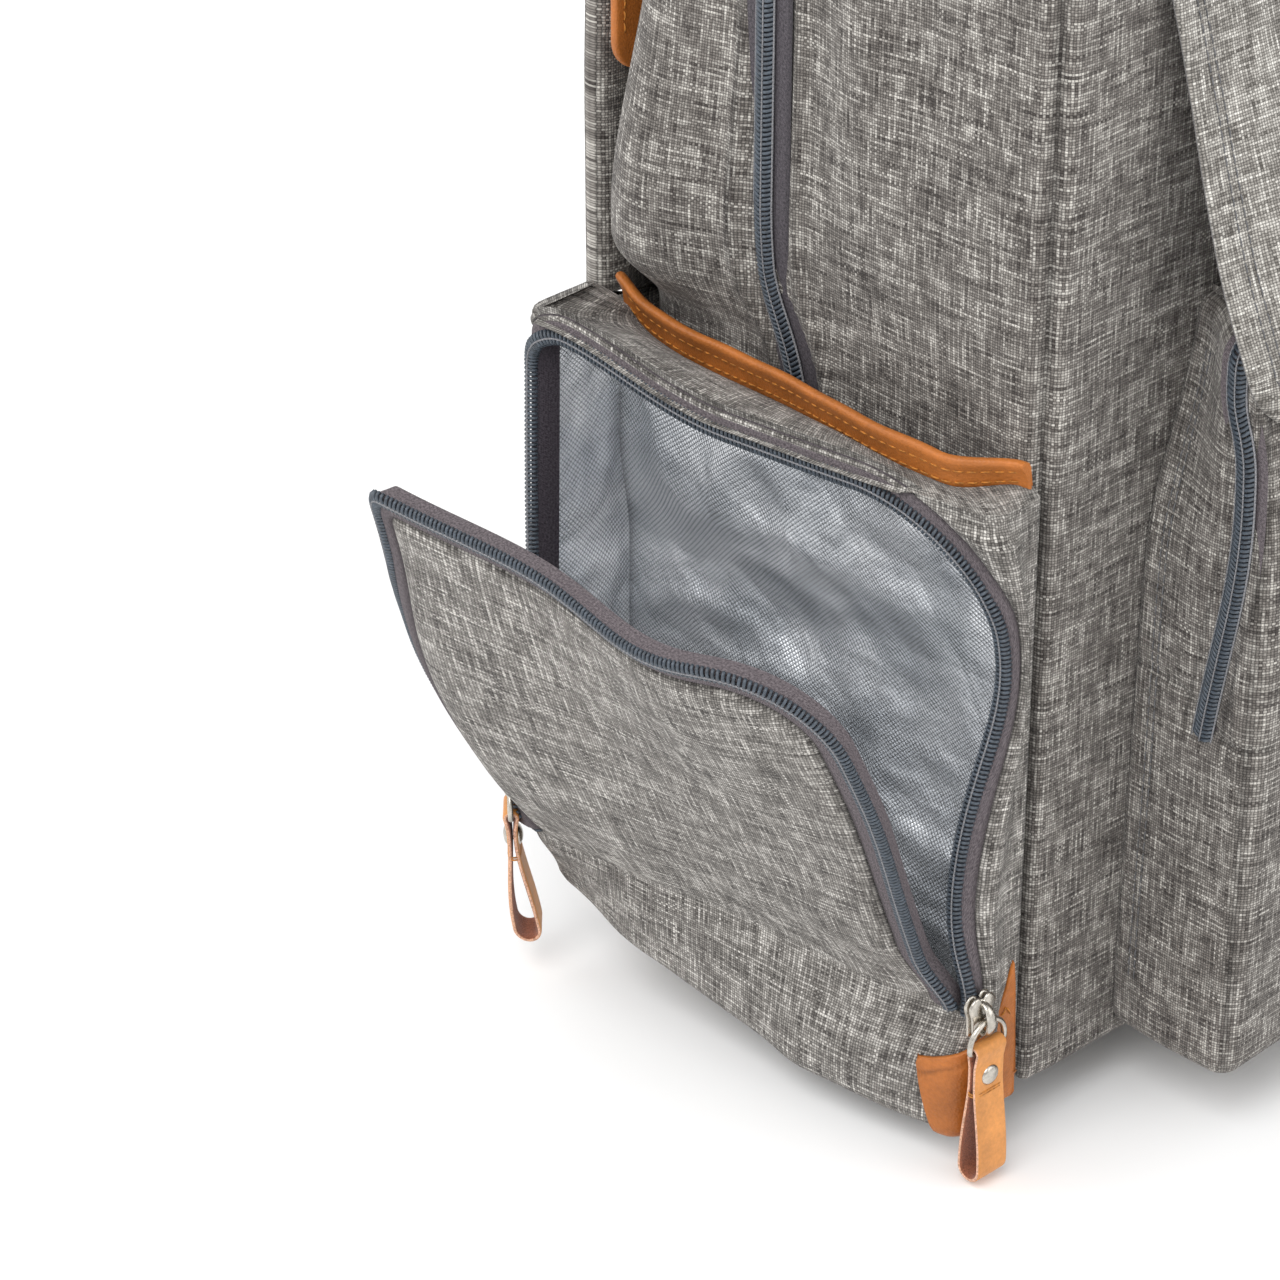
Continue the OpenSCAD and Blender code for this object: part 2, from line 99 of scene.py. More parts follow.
def lumps(points, size, seed=0):
    """Smooth noise from -1 to 1 whose features are about size across (a number or one per axis)."""
    p = np.asarray(points, float) / np.asarray(size, float) + 40 + 7.31 * seed
    cell = np.floor(p).astype(int)
    f = p - cell
    f = f * f * (3 - 2 * f)
    total = 0
    for corner in np.ndindex(2, 2, 2):
        at = (cell + corner) % 32
        share = np.prod([f[..., k] if corner[k] else 1 - f[..., k] for k in range(3)], axis=0)
        total = total + LATTICE[at[..., 0], at[..., 1], at[..., 2]] * share
    return total


def unit(vectors):
    return vectors / np.maximum(np.linalg.norm(vectors, axis=-1, keepdims=True), 1e-12)


def spread(low, high, step, ends=None):
    """Numbers from low to high about step apart, closer together at both ends if ends is given."""
    inner = np.linspace(low, high, max(2, int(round((high - low) / step)) + 1))
    if ends is None:
        return inner
    edge = ends * np.array([0, 0.04, 0.14, 0.3, 0.55, 1])
    inner = inner[(inner > low + ends * 1.2) & (inner < high - ends * 1.2)]
    return np.concatenate([low + edge, inner, high - edge[::-1]])


def stack(*parts):
    """Joins broadcast coordinates into points."""
    return np.stack(np.broadcast_arrays(*parts), axis=-1)


def grid_normals(points):
    down = np.gradient(points, axis=0)
    along = np.gradient(points, axis=1)
    return unit(np.cross(along, down))


def sample(at, known, values):
    """The columns of values, given at known distances, read at other distances."""
    values = np.asarray(values, float)
    return np.stack([np.interp(at, known, values[:, k]) for k in range(values.shape[1])], -1)


def along_path(path, pitch, start=0.5):
    """Points and tangents at even steps of pitch along a polyline, the steps, and its own distances."""
    path = np.asarray(path, float)
    length = np.concatenate([[0], np.cumsum(np.linalg.norm(np.diff(path, axis=0), axis=1))])
    at = np.arange(start * pitch, length[-1], pitch)
    ahead, behind = sample(at + pitch / 3, length, path), sample(at - pitch / 3, length, path)
    return sample(at, length, path), unit(ahead - behind), at, length


# ---------------------------------------------------------------- pieces


class Shape:
    """Collects surfaces, tubes and copies, then makes one mesh piece of them."""

    def __init__(self):
        self.points, self.weave, self.shade = [], [], []
        self.faces, self.face_slots = [], []
        self.count = 0

    def add(self, points, faces, slot=0, weave=None, shade=None):
        points = np.asarray(points, float).reshape(-1, 3)
        n = len(points)
        self.points.append(points)
        if weave is None:
            weave = np.stack([points[:, 0] + points[:, 1], points[:, 2]], -1)
        self.weave.append(np.asarray(weave, float).reshape(-1, 2))
        self.shade.append(np.broadcast_to(1.0 if shade is None else shade, n).astype(float))
        self.faces.extend((np.asarray(f) + self.count).tolist() for f in faces)
        self.face_slots.extend([slot] * len(faces))
        self.count += n

    def grid(self, points, slot=0, weave=None, shade=None, wrap=False, flip=False, skirt=0.0):
        """A sheet through a grid of points. A skirt turns its border inwards by that much."""
        points = np.asarray(points, float)
        if weave is None:
            weave = grid_weave(points)
        if shade is None:
            shade = np.ones(points.shape[:2])
        if skirt:
            normal = grid_normals(points) * (-1 if flip else 1)
            pad = ((1, 1), (1, 1), (0, 0))
            points, normal = np.pad(points, pad, "edge"), np.pad(normal, pad, "edge")
            onward = np.pad(weave, pad, "reflect", reflect_type="odd")
            weave = np.pad(weave, pad, "edge")
            weave = weave + unit(onward - weave) * skirt
            shade = np.pad(shade, 1, "edge")
            border = np.ones(points.shape[:2], bool)
            border[1:-1, 1:-1] = False
            points = points - normal * (border * skirt)[..., None]
        rows, cols = points.shape[:2]
        index = np.arange(rows * cols).reshape(rows, cols)
        if wrap:
            index = np.concatenate([index, index[:, :1]], axis=1)
        quads = np.stack([index[:-1, :-1], index[:-1, 1:], index[1:, 1:], index[1:, :-1]], -1).reshape(-1, 4)
        if flip:
            quads = quads[:, ::-1]
        self.add(points, list(quads), slot, weave, shade.reshape(-1))

    def tube(self, path, radius, sides=8, slot=0, closed=False, across=None, flat=1.0):
        """A round or flattened tube along a path; across is the direction of its wide side."""
        path = np.asarray(path, float)
        if closed:
            tangent = unit(np.roll(path, -1, 0) - np.roll(path, 1, 0))
        else:
            tangent = unit(np.gradient(path, axis=0))
        if across is None:
            across = np.array([0.31, 0.2, 0.93]) if abs(tangent[0][2]) < 0.9 else np.array([1.0, 0.1, 0])
            side = np.zeros_like(path)
            last = across
            for i, t in enumerate(tangent):
                last = unit(last - t * (last @ t))
                side[i] = last
        else:
            side = np.broadcast_to(np.asarray(across, float), path.shape)
            side = unit(side - tangent * (side * tangent).sum(-1, keepdims=True))
        up = np.cross(tangent, side)
        radius = np.broadcast_to(radius, path.shape[:1])[:, None, None]
        angle = np.linspace(0, 2 * np.pi, sides, endpoint=False)
        ring = np.cos(angle)[:, None] * side[:, None] + flat * np.sin(angle)[:, None] * up[:, None]
        points = path[:, None] + radius * ring
        start = self.count
        if closed:
            points = np.concatenate([points, points[:1]])
        length = np.concatenate([[0], np.cumsum(np.linalg.norm(np.diff(points[:, 0], axis=0), axis=1))])
        weave = stack(angle[None, :] * float(radius.max()), length[:, None])
        self.grid(points, slot, weave=weave, wrap=True)
        if not closed:
            first = start + np.arange(sides)
            self.faces.append(first[::-1].tolist())
            self.faces.append((first + (len(path) - 1) * sides).tolist())
            self.face_slots.extend([slot, slot])

    def copies(self, base, places, slot=0):
        """Copies of another shape's points and faces at each place: origin and three axes as columns."""
        points = np.concatenate(base.points)
        for origin, axes in places:
            self.add(points @ np.asarray(axes).T + origin, base.faces, slot)

    def make(self, name, materials, slot, body=None, replaces=(), side=1, smooth=True):
        """The finished object; side -1 mirrors it to the left."""
        points = np.concatenate(self.points)
        faces = self.faces
        if side < 0:
            points = points * [-1, 1, 1]
            faces = [f[::-1] for f in faces]
        mesh = bpy.data.meshes.new(name)
        mesh.from_pydata(points.tolist(), [], faces)
        for m in materials:
            mesh.materials.append(m)
        mesh.polygons.foreach_set("material_index", self.face_slots)
        mesh.polygons.foreach_set("use_smooth", [smooth] * len(faces))
        weave = np.concatenate(self.weave)
        attribute = mesh.attributes.new("weave", "FLOAT_VECTOR", "POINT")
        attribute.data.foreach_set("vector", np.c_[weave, np.zeros(len(weave))].ravel().astype(np.float32))
        # The shade attribute is painted light and shade: a factor on the colour, below one in seams, folds
        # and recesses, above one where a face is made brighter.
        attribute = mesh.attributes.new("shade", "FLOAT", "POINT")
        attribute.data.foreach_set("value", np.concatenate(self.shade).astype(np.float32))
        piece = bpy.data.objects.new(name, mesh)
        bpy.context.scene.collection.objects.link(piece)
        if replaces:
            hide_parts(*replaces)
        if body:
            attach(piece, body)
        return piece


def grid_weave(points):
    """Distances along a grid's rows and columns, so that a weave keeps its size."""
    across = np.linalg.norm(np.diff(points, axis=1), axis=-1)
    down = np.linalg.norm(np.diff(points, axis=0), axis=-1)
    u = np.concatenate([np.zeros((points.shape[0], 1)), np.cumsum(across, 1)], 1)
    u = u - u[:, u.shape[1] // 2][:, None]
    v = np.concatenate([np.zeros((1, points.shape[1])), np.cumsum(down, 0)], 0)
    return np.stack([u, v], -1)


def pad(shape, place, low, high, bounds, half, edge, step=3 * MM, slots=(0, 0), fine=None):
    """A soft slab: place(a, b, h) puts it in space, bounds(b) gives its two sides, and its rim is rounded."""
    rows = spread(low, high, fine or step, edge)
    left, right = (np.array([bounds(b)[k] for b in rows]) for k in (0, 1))
    share = spread(0, 1, step / float(np.max(right - left)), edge / float(np.max(right - left)))
    a = left[:, None] + (right - left)[:, None] * share[None, :]
    b = np.broadcast_to(rows[:, None], a.shape)
    rim = np.minimum(np.minimum(a - left[:, None], right[:, None] - a), np.minimum(b - low, high - b))
    rim = np.clip(rim / edge, 0, 1)
    thick = half(a, b) * np.sqrt(np.clip(1 - (1 - rim) ** 2, 0, 1))
    weave = np.stack([a, b], -1)
    for sign, slot in ((1, slots[0]), (-1, slots[1])):
        points = place(a, b, sign * thick)
        outward = place(a, b, sign * (thick + MM)) - points
        shape.grid(points, slot, weave=weave, flip=np.sum(grid_normals(points) * outward) < 0)


def even(thickness):
    """Half thickness for pad that is the same all over."""
    return lambda a, b: thickness + 0 * a


def upright(low, high):
    """Place for pad in an upright plane, in the middle of a node's box."""
    return lambda a, b, h: stack(a, (low.y + high.y) / 2 + h, b)


def stitches(shape, path, normal, slot=0, length=2.6 * MM, gap=0.9 * MM, thick=0.26 * MM, lift=0.1 * MM):
    """A row of sewn stitches along a path on a surface; normal is one vector or one for each point."""
    points, tangent, at, total = along_path(path, length + gap)
    normals = np.broadcast_to(np.asarray(normal, float), np.asarray(path).shape)
    normals = unit(sample(at, total, normals))
    across = unit(np.cross(normals, tangent))
    base = Shape()
    t = np.linspace(-0.5, 0.5, 5)
    base.tube(stack(t * length, 0 * t, lift + thick * (0.9 - 6.5 * t ** 2 * 0.9)), thick, 5)
    axes = np.stack([tangent, across, np.cross(tangent, across)], -1)
    shape.copies(base, list(zip(points, axes)), slot)


# ---------------------------------------------------------------- materials


class Graph:
    """A node material with short calls for the nodes it needs."""

    def __init__(self, name, roughness=0.8, metallic=0.0, **sockets):
        self.material = bpy.data.materials.new(name)
        self.material.use_nodes = True
        self.tree = self.material.node_tree
        self.shader = self.tree.nodes["Principled BSDF"]
        self.set(self.shader, {"Roughness": roughness, "Metallic": metallic})
        self.set(self.shader, {k.replace("_", " "): v for k, v in sockets.items()})

    def set(self, node, inputs):
        for key, value in inputs.items():
            if isinstance(value, bpy.types.NodeSocket):
                self.tree.links.new(value, node.inputs[key])
            elif value is not None:
                node.inputs[key].default_value = value

    def node(self, kind, inputs=None, **settings):
        made = self.tree.nodes.new("ShaderNode" + kind)
        for key, value in settings.items():
            setattr(made, key, value)
        self.set(made, inputs or {})
        return made

    def math(self, operation, a, b=None, c=None):
        return self.node("Math", {0: a, 1: b, 2: c}, operation=operation).outputs[0]

    def vector(self, operation, a, b=None):
        return self.node("VectorMath", {0: a, 1: b}, operation=operation).outputs[0]

    def attribute(self, name):
        return self.node("Attribute", attribute_name=name)

    def place(self):
        return self.node("TexCoord").outputs["Object"]

    def noise(self, vector, scale, detail=2.0, roughness=0.5):
        inputs = {"Vector": vector, "Scale": scale, "Detail": detail, "Roughness": roughness}
        return self.node("TexNoise", inputs).outputs["Fac"]

    def split(self, vector):
        made = self.node("SeparateXYZ", {0: vector})
        return made.outputs[0], made.outputs[1], made.outputs[2]

    def join(self, x, y, z=0.0):
        return self.node("CombineXYZ", {0: x, 1: y, 2: z}).outputs[0]

    def ramp(self, value, *stops):
        made = self.node("ValToRGB", {0: value})
        elements = made.color_ramp.elements
        while len(elements) < len(stops):
            elements.new(0.5)
        for element, (place, colour) in zip(elements, stops):
            element.position = place
            element.color = rgb(*colour)
        return made.outputs[0]

    def mix(self, factor, a, b, blend="MIX"):
        made = self.node("Mix", data_type="RGBA", blend_type=blend)
        self.set(made, {0: factor, 6: a, 7: b})
        return made.outputs[2]

    def tint(self, colour, value):
        """Colour times a grey value."""
        return self.mix(1.0, colour, self.join(value, value, value), "MULTIPLY")

    def bump(self, height, distance, strength=1.0, below=None):
        inputs = {"Height": height, "Distance": distance, "Strength": strength, "Normal": below}
        return self.node("Bump", inputs).outputs[0]

    def finish(self, colour=None, normal=None, roughness=None):
        self.set(self.shader, {"Base Color": colour, "Normal": normal, "Roughness": roughness})
        return self.material


def rgb(r, g, b):
    """Colour given as display values from 0 to 255."""
    shares = (r / 255, g / 255, b / 255)
    linear = [c / 12.92 if c <= 0.04045 else ((c + 0.055) / 1.055) ** 2.4 for c in shares]
    return (*linear, 1.0)


def threads(g, place, pitch, wander=0.25, slub=0.06):
    """A plain weave: the shade of each thread, and its height."""
    weave = g.vector("SCALE", place)
    weave.node.inputs["Scale"].default_value = 1 / pitch
    x, y, _ = g.split(weave)
    drift = g.noise(weave, 0.16, 2.0)
    x = g.math("MULTIPLY_ADD", drift, 2 * wander, x)
    y = g.math("MULTIPLY_ADD", g.noise(weave, 0.19, 2.0), 2 * wander, y)
    ix, iy = g.math("FLOOR", x), g.math("FLOOR", y)
    over = g.math("FLOORED_MODULO", g.math("ADD", ix, iy), 2.0)
    warp = g.noise(g.join(g.math("MULTIPLY", ix, 7.31), g.math("MULTIPLY", y, slub), 3.0), 1.0, 2.0, 0.65)
    weft = g.noise(g.join(g.math("MULTIPLY", x, slub), g.math("MULTIPLY", iy, 7.77), 9.0), 1.0, 2.0, 0.65)
    shade = g.node("Mix", {0: over, 2: warp, 3: weft}).outputs[0]
    both = g.math("MULTIPLY", g.math("ADD", warp, weft), 0.19)
    shade = g.math("MULTIPLY_ADD", shade, 0.62, both)
    round_x = g.math("SINE", g.math("MULTIPLY", g.math("FRACT", x), math.pi))
    round_y = g.math("SINE", g.math("MULTIPLY", g.math("FRACT", y), math.pi))
    half_x = g.math("MULTIPLY_ADD", round_x, 0.45, 0.55)
    half_y = g.math("MULTIPLY_ADD", round_y, 0.45, 0.55)
    up = g.math("MULTIPLY", round_x, half_y)
    level = g.math("MULTIPLY", round_y, half_x)
    height = g.node("Mix", {0: over, 2: up, 3: level}).outputs[0]
    return shade, height


def melange(name, dark, middle, light, pitch=THREAD):
    """Heathered cloth of light and dark slubbed threads."""
    g = Graph(name, roughness=0.92, Specular_IOR_Level=0.2, Sheen_Weight=0.12, Sheen_Roughness=0.5)
    place = g.attribute("weave").outputs["Vector"]
    shade, height = threads(g, place, pitch)
    fine = g.noise(place, 2600, 1.0)
    patch = g.noise(place, 55, 3.0, 0.6)
    shade = g.math("ADD", shade, g.math("MULTIPLY_ADD", fine, 0.16, -0.08))
    shade = g.math("ADD", shade, g.math("MULTIPLY_ADD", patch, 0.12, -0.06))
    colour = g.ramp(shade, (0.35, dark), (0.5, middle), (0.66, light))
    # Painted shade: the colour is darker in the gaps between the threads, and is multiplied by the mesh's
    # painted shade in seams, folds and recesses.
    depth = g.math("MULTIPLY_ADD", height, 1.1, 0.24)
    depth = g.math("MULTIPLY", depth, g.attribute("shade").outputs["Fac"])
    crease = g.noise(g.place(), 90, 3.0, 0.55)
    normal = g.bump(crease, 0.6 * MM, 0.5)
    normal = g.bump(height, 0.22 * MM, 0.8, normal)
    return g.finish(g.tint(colour, depth), normal)


def twill(name, dark, light, pitch=0.55 * MM):
    """Fine zip tape: slanting ribs with a little heather."""
    g = Graph(name, roughness=0.85, Specular_IOR_Level=0.25)
    place = g.attribute("weave").outputs["Vector"]
    x, y, _ = g.split(place)
    slant = g.math("DIVIDE", g.math("ADD", x, g.math("MULTIPLY", y, 0.55)), pitch)
    rib = g.math("SINE", g.math("MULTIPLY", slant, 2 * math.pi))
    dash = g.noise(place, 1500, 2.0, 0.7)
    cross = g.math("SINE", g.math("MULTIPLY", g.math("DIVIDE", y, pitch * 0.9), 2 * math.pi))
    height = g.math("ADD", g.math("MULTIPLY", rib, 0.3), g.math("MULTIPLY", cross, 0.2))
    # Painted shade: the grooves between the ribs are darker, and the mesh's painted shade darkens the tape
    # where it runs under the cloth.
    tone = g.math("ADD", dash, g.math("MULTIPLY", height, 0.22))
    colour = g.ramp(tone, (0.3, dark), (0.72, light))
    colour = g.tint(colour, g.attribute("shade").outputs["Fac"])
    return g.finish(colour, g.bump(height, 0.12 * MM, 0.7))


def plastic(name, colour, roughness=0.38, streak=900.0):
    g = Graph(name, roughness=roughness, Specular_IOR_Level=0.5)
    tone = g.noise(g.place(), streak, 2.0)
    low = tuple(c * 0.82 for c in colour)
    high = tuple(min(255, c * 1.12) for c in colour)
    return g.finish(g.ramp(tone, (0.35, low), (0.65, high)), g.bump(tone, 0.05 * MM, 0.4))


def leather(name, colour, grain=0.22, roughness=0.48, fine=1400.0):
    """Coated leather with a pebbled grain and cloudy colour."""
    g = Graph(name, roughness=roughness, Specular_IOR_Level=0.4)
    place = g.place()
    cells = g.node("TexVoronoi", {"Vector": place, "Scale": fine}, feature="F1").outputs["Distance"]
    cloud = g.noise(place, 70, 4.0, 0.6)
    speck = g.noise(place, 900, 2.0)
    tone = g.math("ADD", g.math("MULTIPLY", cloud, 0.75), g.math("MULTIPLY", speck, 0.25))
    low = tuple(c * 0.84 for c in colour)
    high = tuple(min(255, c * 1.1 + 4) for c in colour)
    rough = g.math("MULTIPLY_ADD", cloud, 0.2, roughness - 0.1)
    # Times the mesh's painted shade, as in the corner leather's fold.
    shaded = g.tint(g.ramp(tone, (0.3, low), (0.7, high)), g.attribute("shade").outputs["Fac"])
    height = g.math("ADD", cells, g.math("MULTIPLY", speck, 0.6))
    return g.finish(shaded, g.bump(height, grain * MM, 0.5), rough)


def suede(name, colour):
    g = Graph(name, roughness=0.95, Specular_IOR_Level=0.15, Sheen_Weight=0.25)
    nap = g.noise(g.place(), 1800, 4.0, 0.8)
    low = tuple(c * 0.62 for c in colour)
    high = tuple(min(255, c * 1.18) for c in colour)
    return g.finish(g.ramp(nap, (0.32, low), (0.68, high)), g.bump(nap, 0.3 * MM, 0.8))


def metal(name, colour, roughness=0.24):
    g = Graph(name, roughness=roughness, metallic=1.0)
    place = g.place()
    wear = g.noise(place, 380, 4.0, 0.65)
    low = tuple(c * 0.8 for c in colour)
    rough = g.math("MULTIPLY_ADD", wear, 0.22, roughness - 0.1)
    return g.finish(g.ramp(wear, (0.35, low), (0.62, colour)), g.bump(wear, 0.08 * MM, 0.35), rough)


def foil(name, colour, pitch=1.15 * MM):
    """Silver lining with an embossed diamond grid and fine crinkles."""
    g = Graph(name, roughness=0.27, metallic=0.72)
    place = g.attribute("weave").outputs["Vector"]
    x, y, _ = g.split(place)
    wave = 2 * math.pi / pitch
    slant = g.math("ABSOLUTE", g.math("SINE", g.math("MULTIPLY", g.math("ADD", x, y), wave / 2.6)))
    other = g.math("ABSOLUTE", g.math("SINE", g.math("MULTIPLY", g.math("SUBTRACT", x, y), wave / 2.6)))
    dot = g.math("POWER", g.math("MULTIPLY", slant, other), 0.5)
    crinkle = g.noise(place, 42, 3.0, 0.5)
    fold = g.node("TexVoronoi", {"Vector": place, "Scale": 26.0}, feature="DISTANCE_TO_EDGE").outputs[0]
    fold = g.math("MINIMUM", fold, 0.1)
    normal = g.bump(crinkle, 5 * MM, 0.75)
    normal = g.bump(fold, 6 * MM, 0.6, normal)
    normal = g.bump(dot, 0.28 * MM, 0.75, normal)
    # Painted shade: the grid's embossed lines are darker.
    low = tuple(c * 0.58 for c in colour)
    tone = g.ramp(dot, (0.05, low), (0.7, colour))
    # Painted reflection: lighter and darker patches stand in for the crinkles catching the light.
    painted_reflection_patches = g.ramp(g.noise(place, 30, 2.0, 0.5), (0.38, (218, 220, 222)), (0.6, (255, 255, 255)))
    tone = g.mix(1.0, tone, painted_reflection_patches, "MULTIPLY")
    # Times the mesh's painted light and shade, as on the pocket lining's walls.
    colour = g.tint(tone, g.attribute("shade").outputs["Fac"])
    rough = g.math("MULTIPLY_ADD", crinkle, 0.25, 0.08)
    return g.finish(colour, normal, rough)


CLOTH = melange("cloth", (62, 57, 54), (118, 113, 108), (192, 188, 181))
# Painted light: a lighter copy of the same cloth, for the doors and the left pocket, which face the lamps.
LIT_DOOR_CLOTH = melange("door_cloth", (72, 68, 65), (130, 126, 121), (202, 198, 192))
# Painted light: a still lighter copy of the same cloth, for the lid, whose slope faces the lamps.
LIT_LID_CLOTH = melange("lid_cloth", (88, 84, 79), (150, 146, 140), (214, 211, 204))
TAPE = twill("zip_tape", (62, 56, 60), (124, 116, 119))
TAPE_SHUT = twill("zip_tape_shut", (48, 45, 49), (98, 93, 98))
# Painted shade: a darker copy of the zip tape, for the facing turned in inside the pocket's mouth.
TAPE_SHADED = twill("zip_tape_inside", (40, 36, 42), (86, 79, 86))
COIL = plastic("zip_coil", (66, 74, 83), 0.36)
CORD = twill("zip_cord", (92, 92, 96), (165, 165, 168), 0.8 * MM)
LEATHER = leather("leather", (170, 99, 40))
PULL_LEATHER = leather("pull_leather", (208, 140, 74), 0.1, 0.45, 2200)
RAW_EDGE = suede("raw_edge", (226, 170, 142))
SUEDE = suede("suede", (158, 98, 72))
NICKEL = metal("nickel", (206, 200, 190))
FOIL = foil("foil", (250, 252, 255))
THREAD_GREY = plastic("thread_grey", (98, 98, 100), 0.6)
THREAD_OCHRE = plastic("thread_ochre", (176, 112, 38), 0.6)
WEBBING = twill("webbing", (58, 56, 58), (104, 101, 102), 1.1 * MM)
LINING = twill("inner_lining", (104, 102, 102), (150, 148, 147), 0.45 * MM)
BLACK = plastic("black_plastic", (52, 54, 57), 0.42, 300)
BOARD = plastic("board", (60, 58, 58), 0.8, 500)


# ---------------------------------------------------------------- zips


def coil_edge(shape, path, out, slot=0, width=3.9 * MM, cord_slot=1, lean=0.16):
    """Half of an open zip: wire loops bent over the tape's edge, with a sewn cord along their middle."""
    points, tangent, at, total = along_path(path, COIL_PITCH)
    across = unit(np.cross(unit(sample(at, total, out)), tangent))
    normals = np.cross(tangent, across)
    bend = np.array([[-1.0, -0.5], [-0.97, 0.35], [-0.62, 0.95], [-0.2, 1.0], [0, 0.86], [0.2, 1.0],
                     [0.62, 0.95], [0.97, 0.35], [1.0, -0.5]])
    base = Shape()
    half = width / 2
    base.tube(stack(lean * half * bend[:, 0], half * bend[:, 0], 1.15 * MM * bend[:, 1]), 0.5 * MM, 6)
    shape.copies(base, list(zip(points, np.stack([tangent, across, normals], -1))), slot)
    middle, _, at, total = along_path(path, 2 * MM, 0)
    lift = unit(sample(at, total, out))
    shape.tube(middle + lift * 1.42 * MM, 0.3 * MM, 5, cord_slot)


def closed_chain(shape, path, out, slot=0, cord_slot=1, width=6.2 * MM):
    """A closed zip: two rows of hooked loops that meet along a thin middle line."""
    base = {}
    for side in (-1, 1):
        base[side] = Shape()
        t = np.linspace(0, 1, 7)
        reach = side * (0.35 * MM + t * (width / 2 - 0.35 * MM))
        slope = 1.15 * MM * t ** 1.6
        rise = 1.5 * MM * np.sqrt(np.clip(1 - (t * 0.98) ** 3, 0, 1)) - 0.2 * MM
        base[side].tube(stack(slope, reach, rise), 0.52 * MM, 6)
    for side in (-1, 1):
        points, tangent, at, total = along_path(path, COIL_PITCH, 0.5 if side > 0 else 1.0)
        across = unit(np.cross(unit(sample(at, total, out)), tangent))
        axes = np.stack([tangent, across, np.cross(tangent, across)], -1)
        shape.copies(base[side], list(zip(points, axes)), slot)
    middle, tangent, at, total = along_path(path, 2 * MM, 0)
    lift = unit(sample(at, total, out))
    across = unit(np.cross(lift, tangent))
    shape.tube(middle + lift * 1.55 * MM, 0.28 * MM, 5, cord_slot)
    for side in (-1, 1):
        shape.tube(middle + across * side * width * 0.53 + lift * 0.7 * MM, 0.32 * MM, 5, cord_slot)


def ribbon(shape, path, out, low, high, slot=0, lift=0.0, shade=None, rows=7, skirt=0.0):
    """A strip beside a path, from low to high across it."""
    path, out = np.asarray(path, float), unit(np.asarray(out, float))
    tangent = unit(np.gradient(path, axis=0))
    across = unit(np.cross(out, tangent))
    share = np.linspace(low, high, rows)
    points = path[None] + across[None] * share[:, None, None] + out[None] * lift
    tone = None if shade is None else np.broadcast_to(np.asarray(shade(share))[:, None], points.shape[:2])
    shape.grid(points, slot, shade=tone, skirt=skirt)


# ---------------------------------------------------------------- side pocket


R_FRONT, R_BACK = 6 * MM, 8 * MM
BODY_LINE = HALF_W + 0.2 * MM


def plan_line():
    """Plan of the pocket's outside from the body's front edge round to its back edge, with normals."""
    front_cut = R_FRONT * math.tan((math.pi / 2 - FACE_ANGLE) / 2)
    back_cut = R_BACK * math.tan((math.pi / 2 + FACE_ANGLE) / 2)
    face = np.array([math.sin(FACE_ANGLE), math.cos(FACE_ANGLE)])
    start = np.array([HALF_W + FRONT_OUT, -HALF_D])
    tangent_front = start + face * front_cut
    tangent_back = start + face * (FACE_LEN - back_cut)
    points, normals = [[BODY_LINE, -HALF_D]], [[0, -1]]
    face_normal = np.array([math.cos(FACE_ANGLE), -math.sin(FACE_ANGLE)])
    for tangent, radius, a0, a1 in (
        (tangent_front, R_FRONT, -math.pi / 2, -FACE_ANGLE),
        (tangent_back, R_BACK, -FACE_ANGLE, math.pi / 2),
    ):
        centre = tangent - face_normal * radius
        for a in np.linspace(a0, a1, 13):
            n = np.array([math.cos(a), math.sin(a)])
            points.append(centre + radius * n)
            normals.append(n)
    for inside in (0, 8 * MM, 15 * MM):
        points.append([BODY_LINE - inside, HALF_D])
        normals.append([0, 1])
    points, normals = np.array(points), np.array(normals)
    along = np.concatenate([[0], np.cumsum(np.linalg.norm(np.diff(points, axis=0), axis=1))])
    return along - along[13] + front_cut, points, normals


PLAN_W, PLAN_XY, PLAN_N = plan_line()
W_START, W_END = PLAN_W[0], PLAN_W[-1]


def pocket_warp(p, soft=1.0):
    """The soft pocket's leaning: higher at the back, pinched at its upper front, drawn in at its foot."""
    x, y, z = p[..., 0], p[..., 1], p[..., 2]
    h = z - SEAM_Z
    outer = ease(x, HALF_W + 2 * MM, HALF_W + 16 * MM)
    up = ease(h, 60 * MM, 190 * MM)
    rise = soft * 10 * MM * ease(y, 5 * MM, 66 * MM) * up
    pinch = soft * -11 * MM * bell(y, -76 * MM, 28 * MM) * bell(h, 138 * MM, 44 * MM)
    lean = soft * -2 * MM * ease(y, 20 * MM, 75 * MM) * up
    low = 1 - ease(h, -2 * MM, 42 * MM)
    corner = ease(y, 30 * MM, 80 * MM) * low
    lift = ease(y, -15 * MM, 75 * MM) * low
    sag = -5.5 * MM * bell(y, -58 * MM, 48 * MM) * (1 - ease(h, 0, 24 * MM))
    belly = 4 * MM * bell(y, -42 * MM, 42 * MM) * bell(h, 10 * MM, 24 * MM)
    shift = stack(pinch + lean + belly - 11 * MM * corner, 0 * x, rise + 12.5 * MM * lift + sag)
    return p + outer[..., None] * shift


def settle(w, h):
    """How far the zip's stitching draws the cloth along the pocket's plan."""
    near_front = ease(w, W_START, 6 * MM) * (1 - ease(w, 12 * MM, 75 * MM))
    near_back = ease(w, 95 * MM, 150 * MM) * (1 - ease(w, 152 * MM, W_END))
    front = -6.8 * MM * bell(h, 38 * MM, 20 * MM) - 4.5 * MM * bell(h, 140 * MM, 34 * MM)
    return near_front * front + near_back * 4.5 * MM * bell(h, 168 * MM, 50 * MM)


def foot_radius(w):
    return 3.5 * MM + 2.5 * MM * ease(w, 4 * MM, 30 * MM)


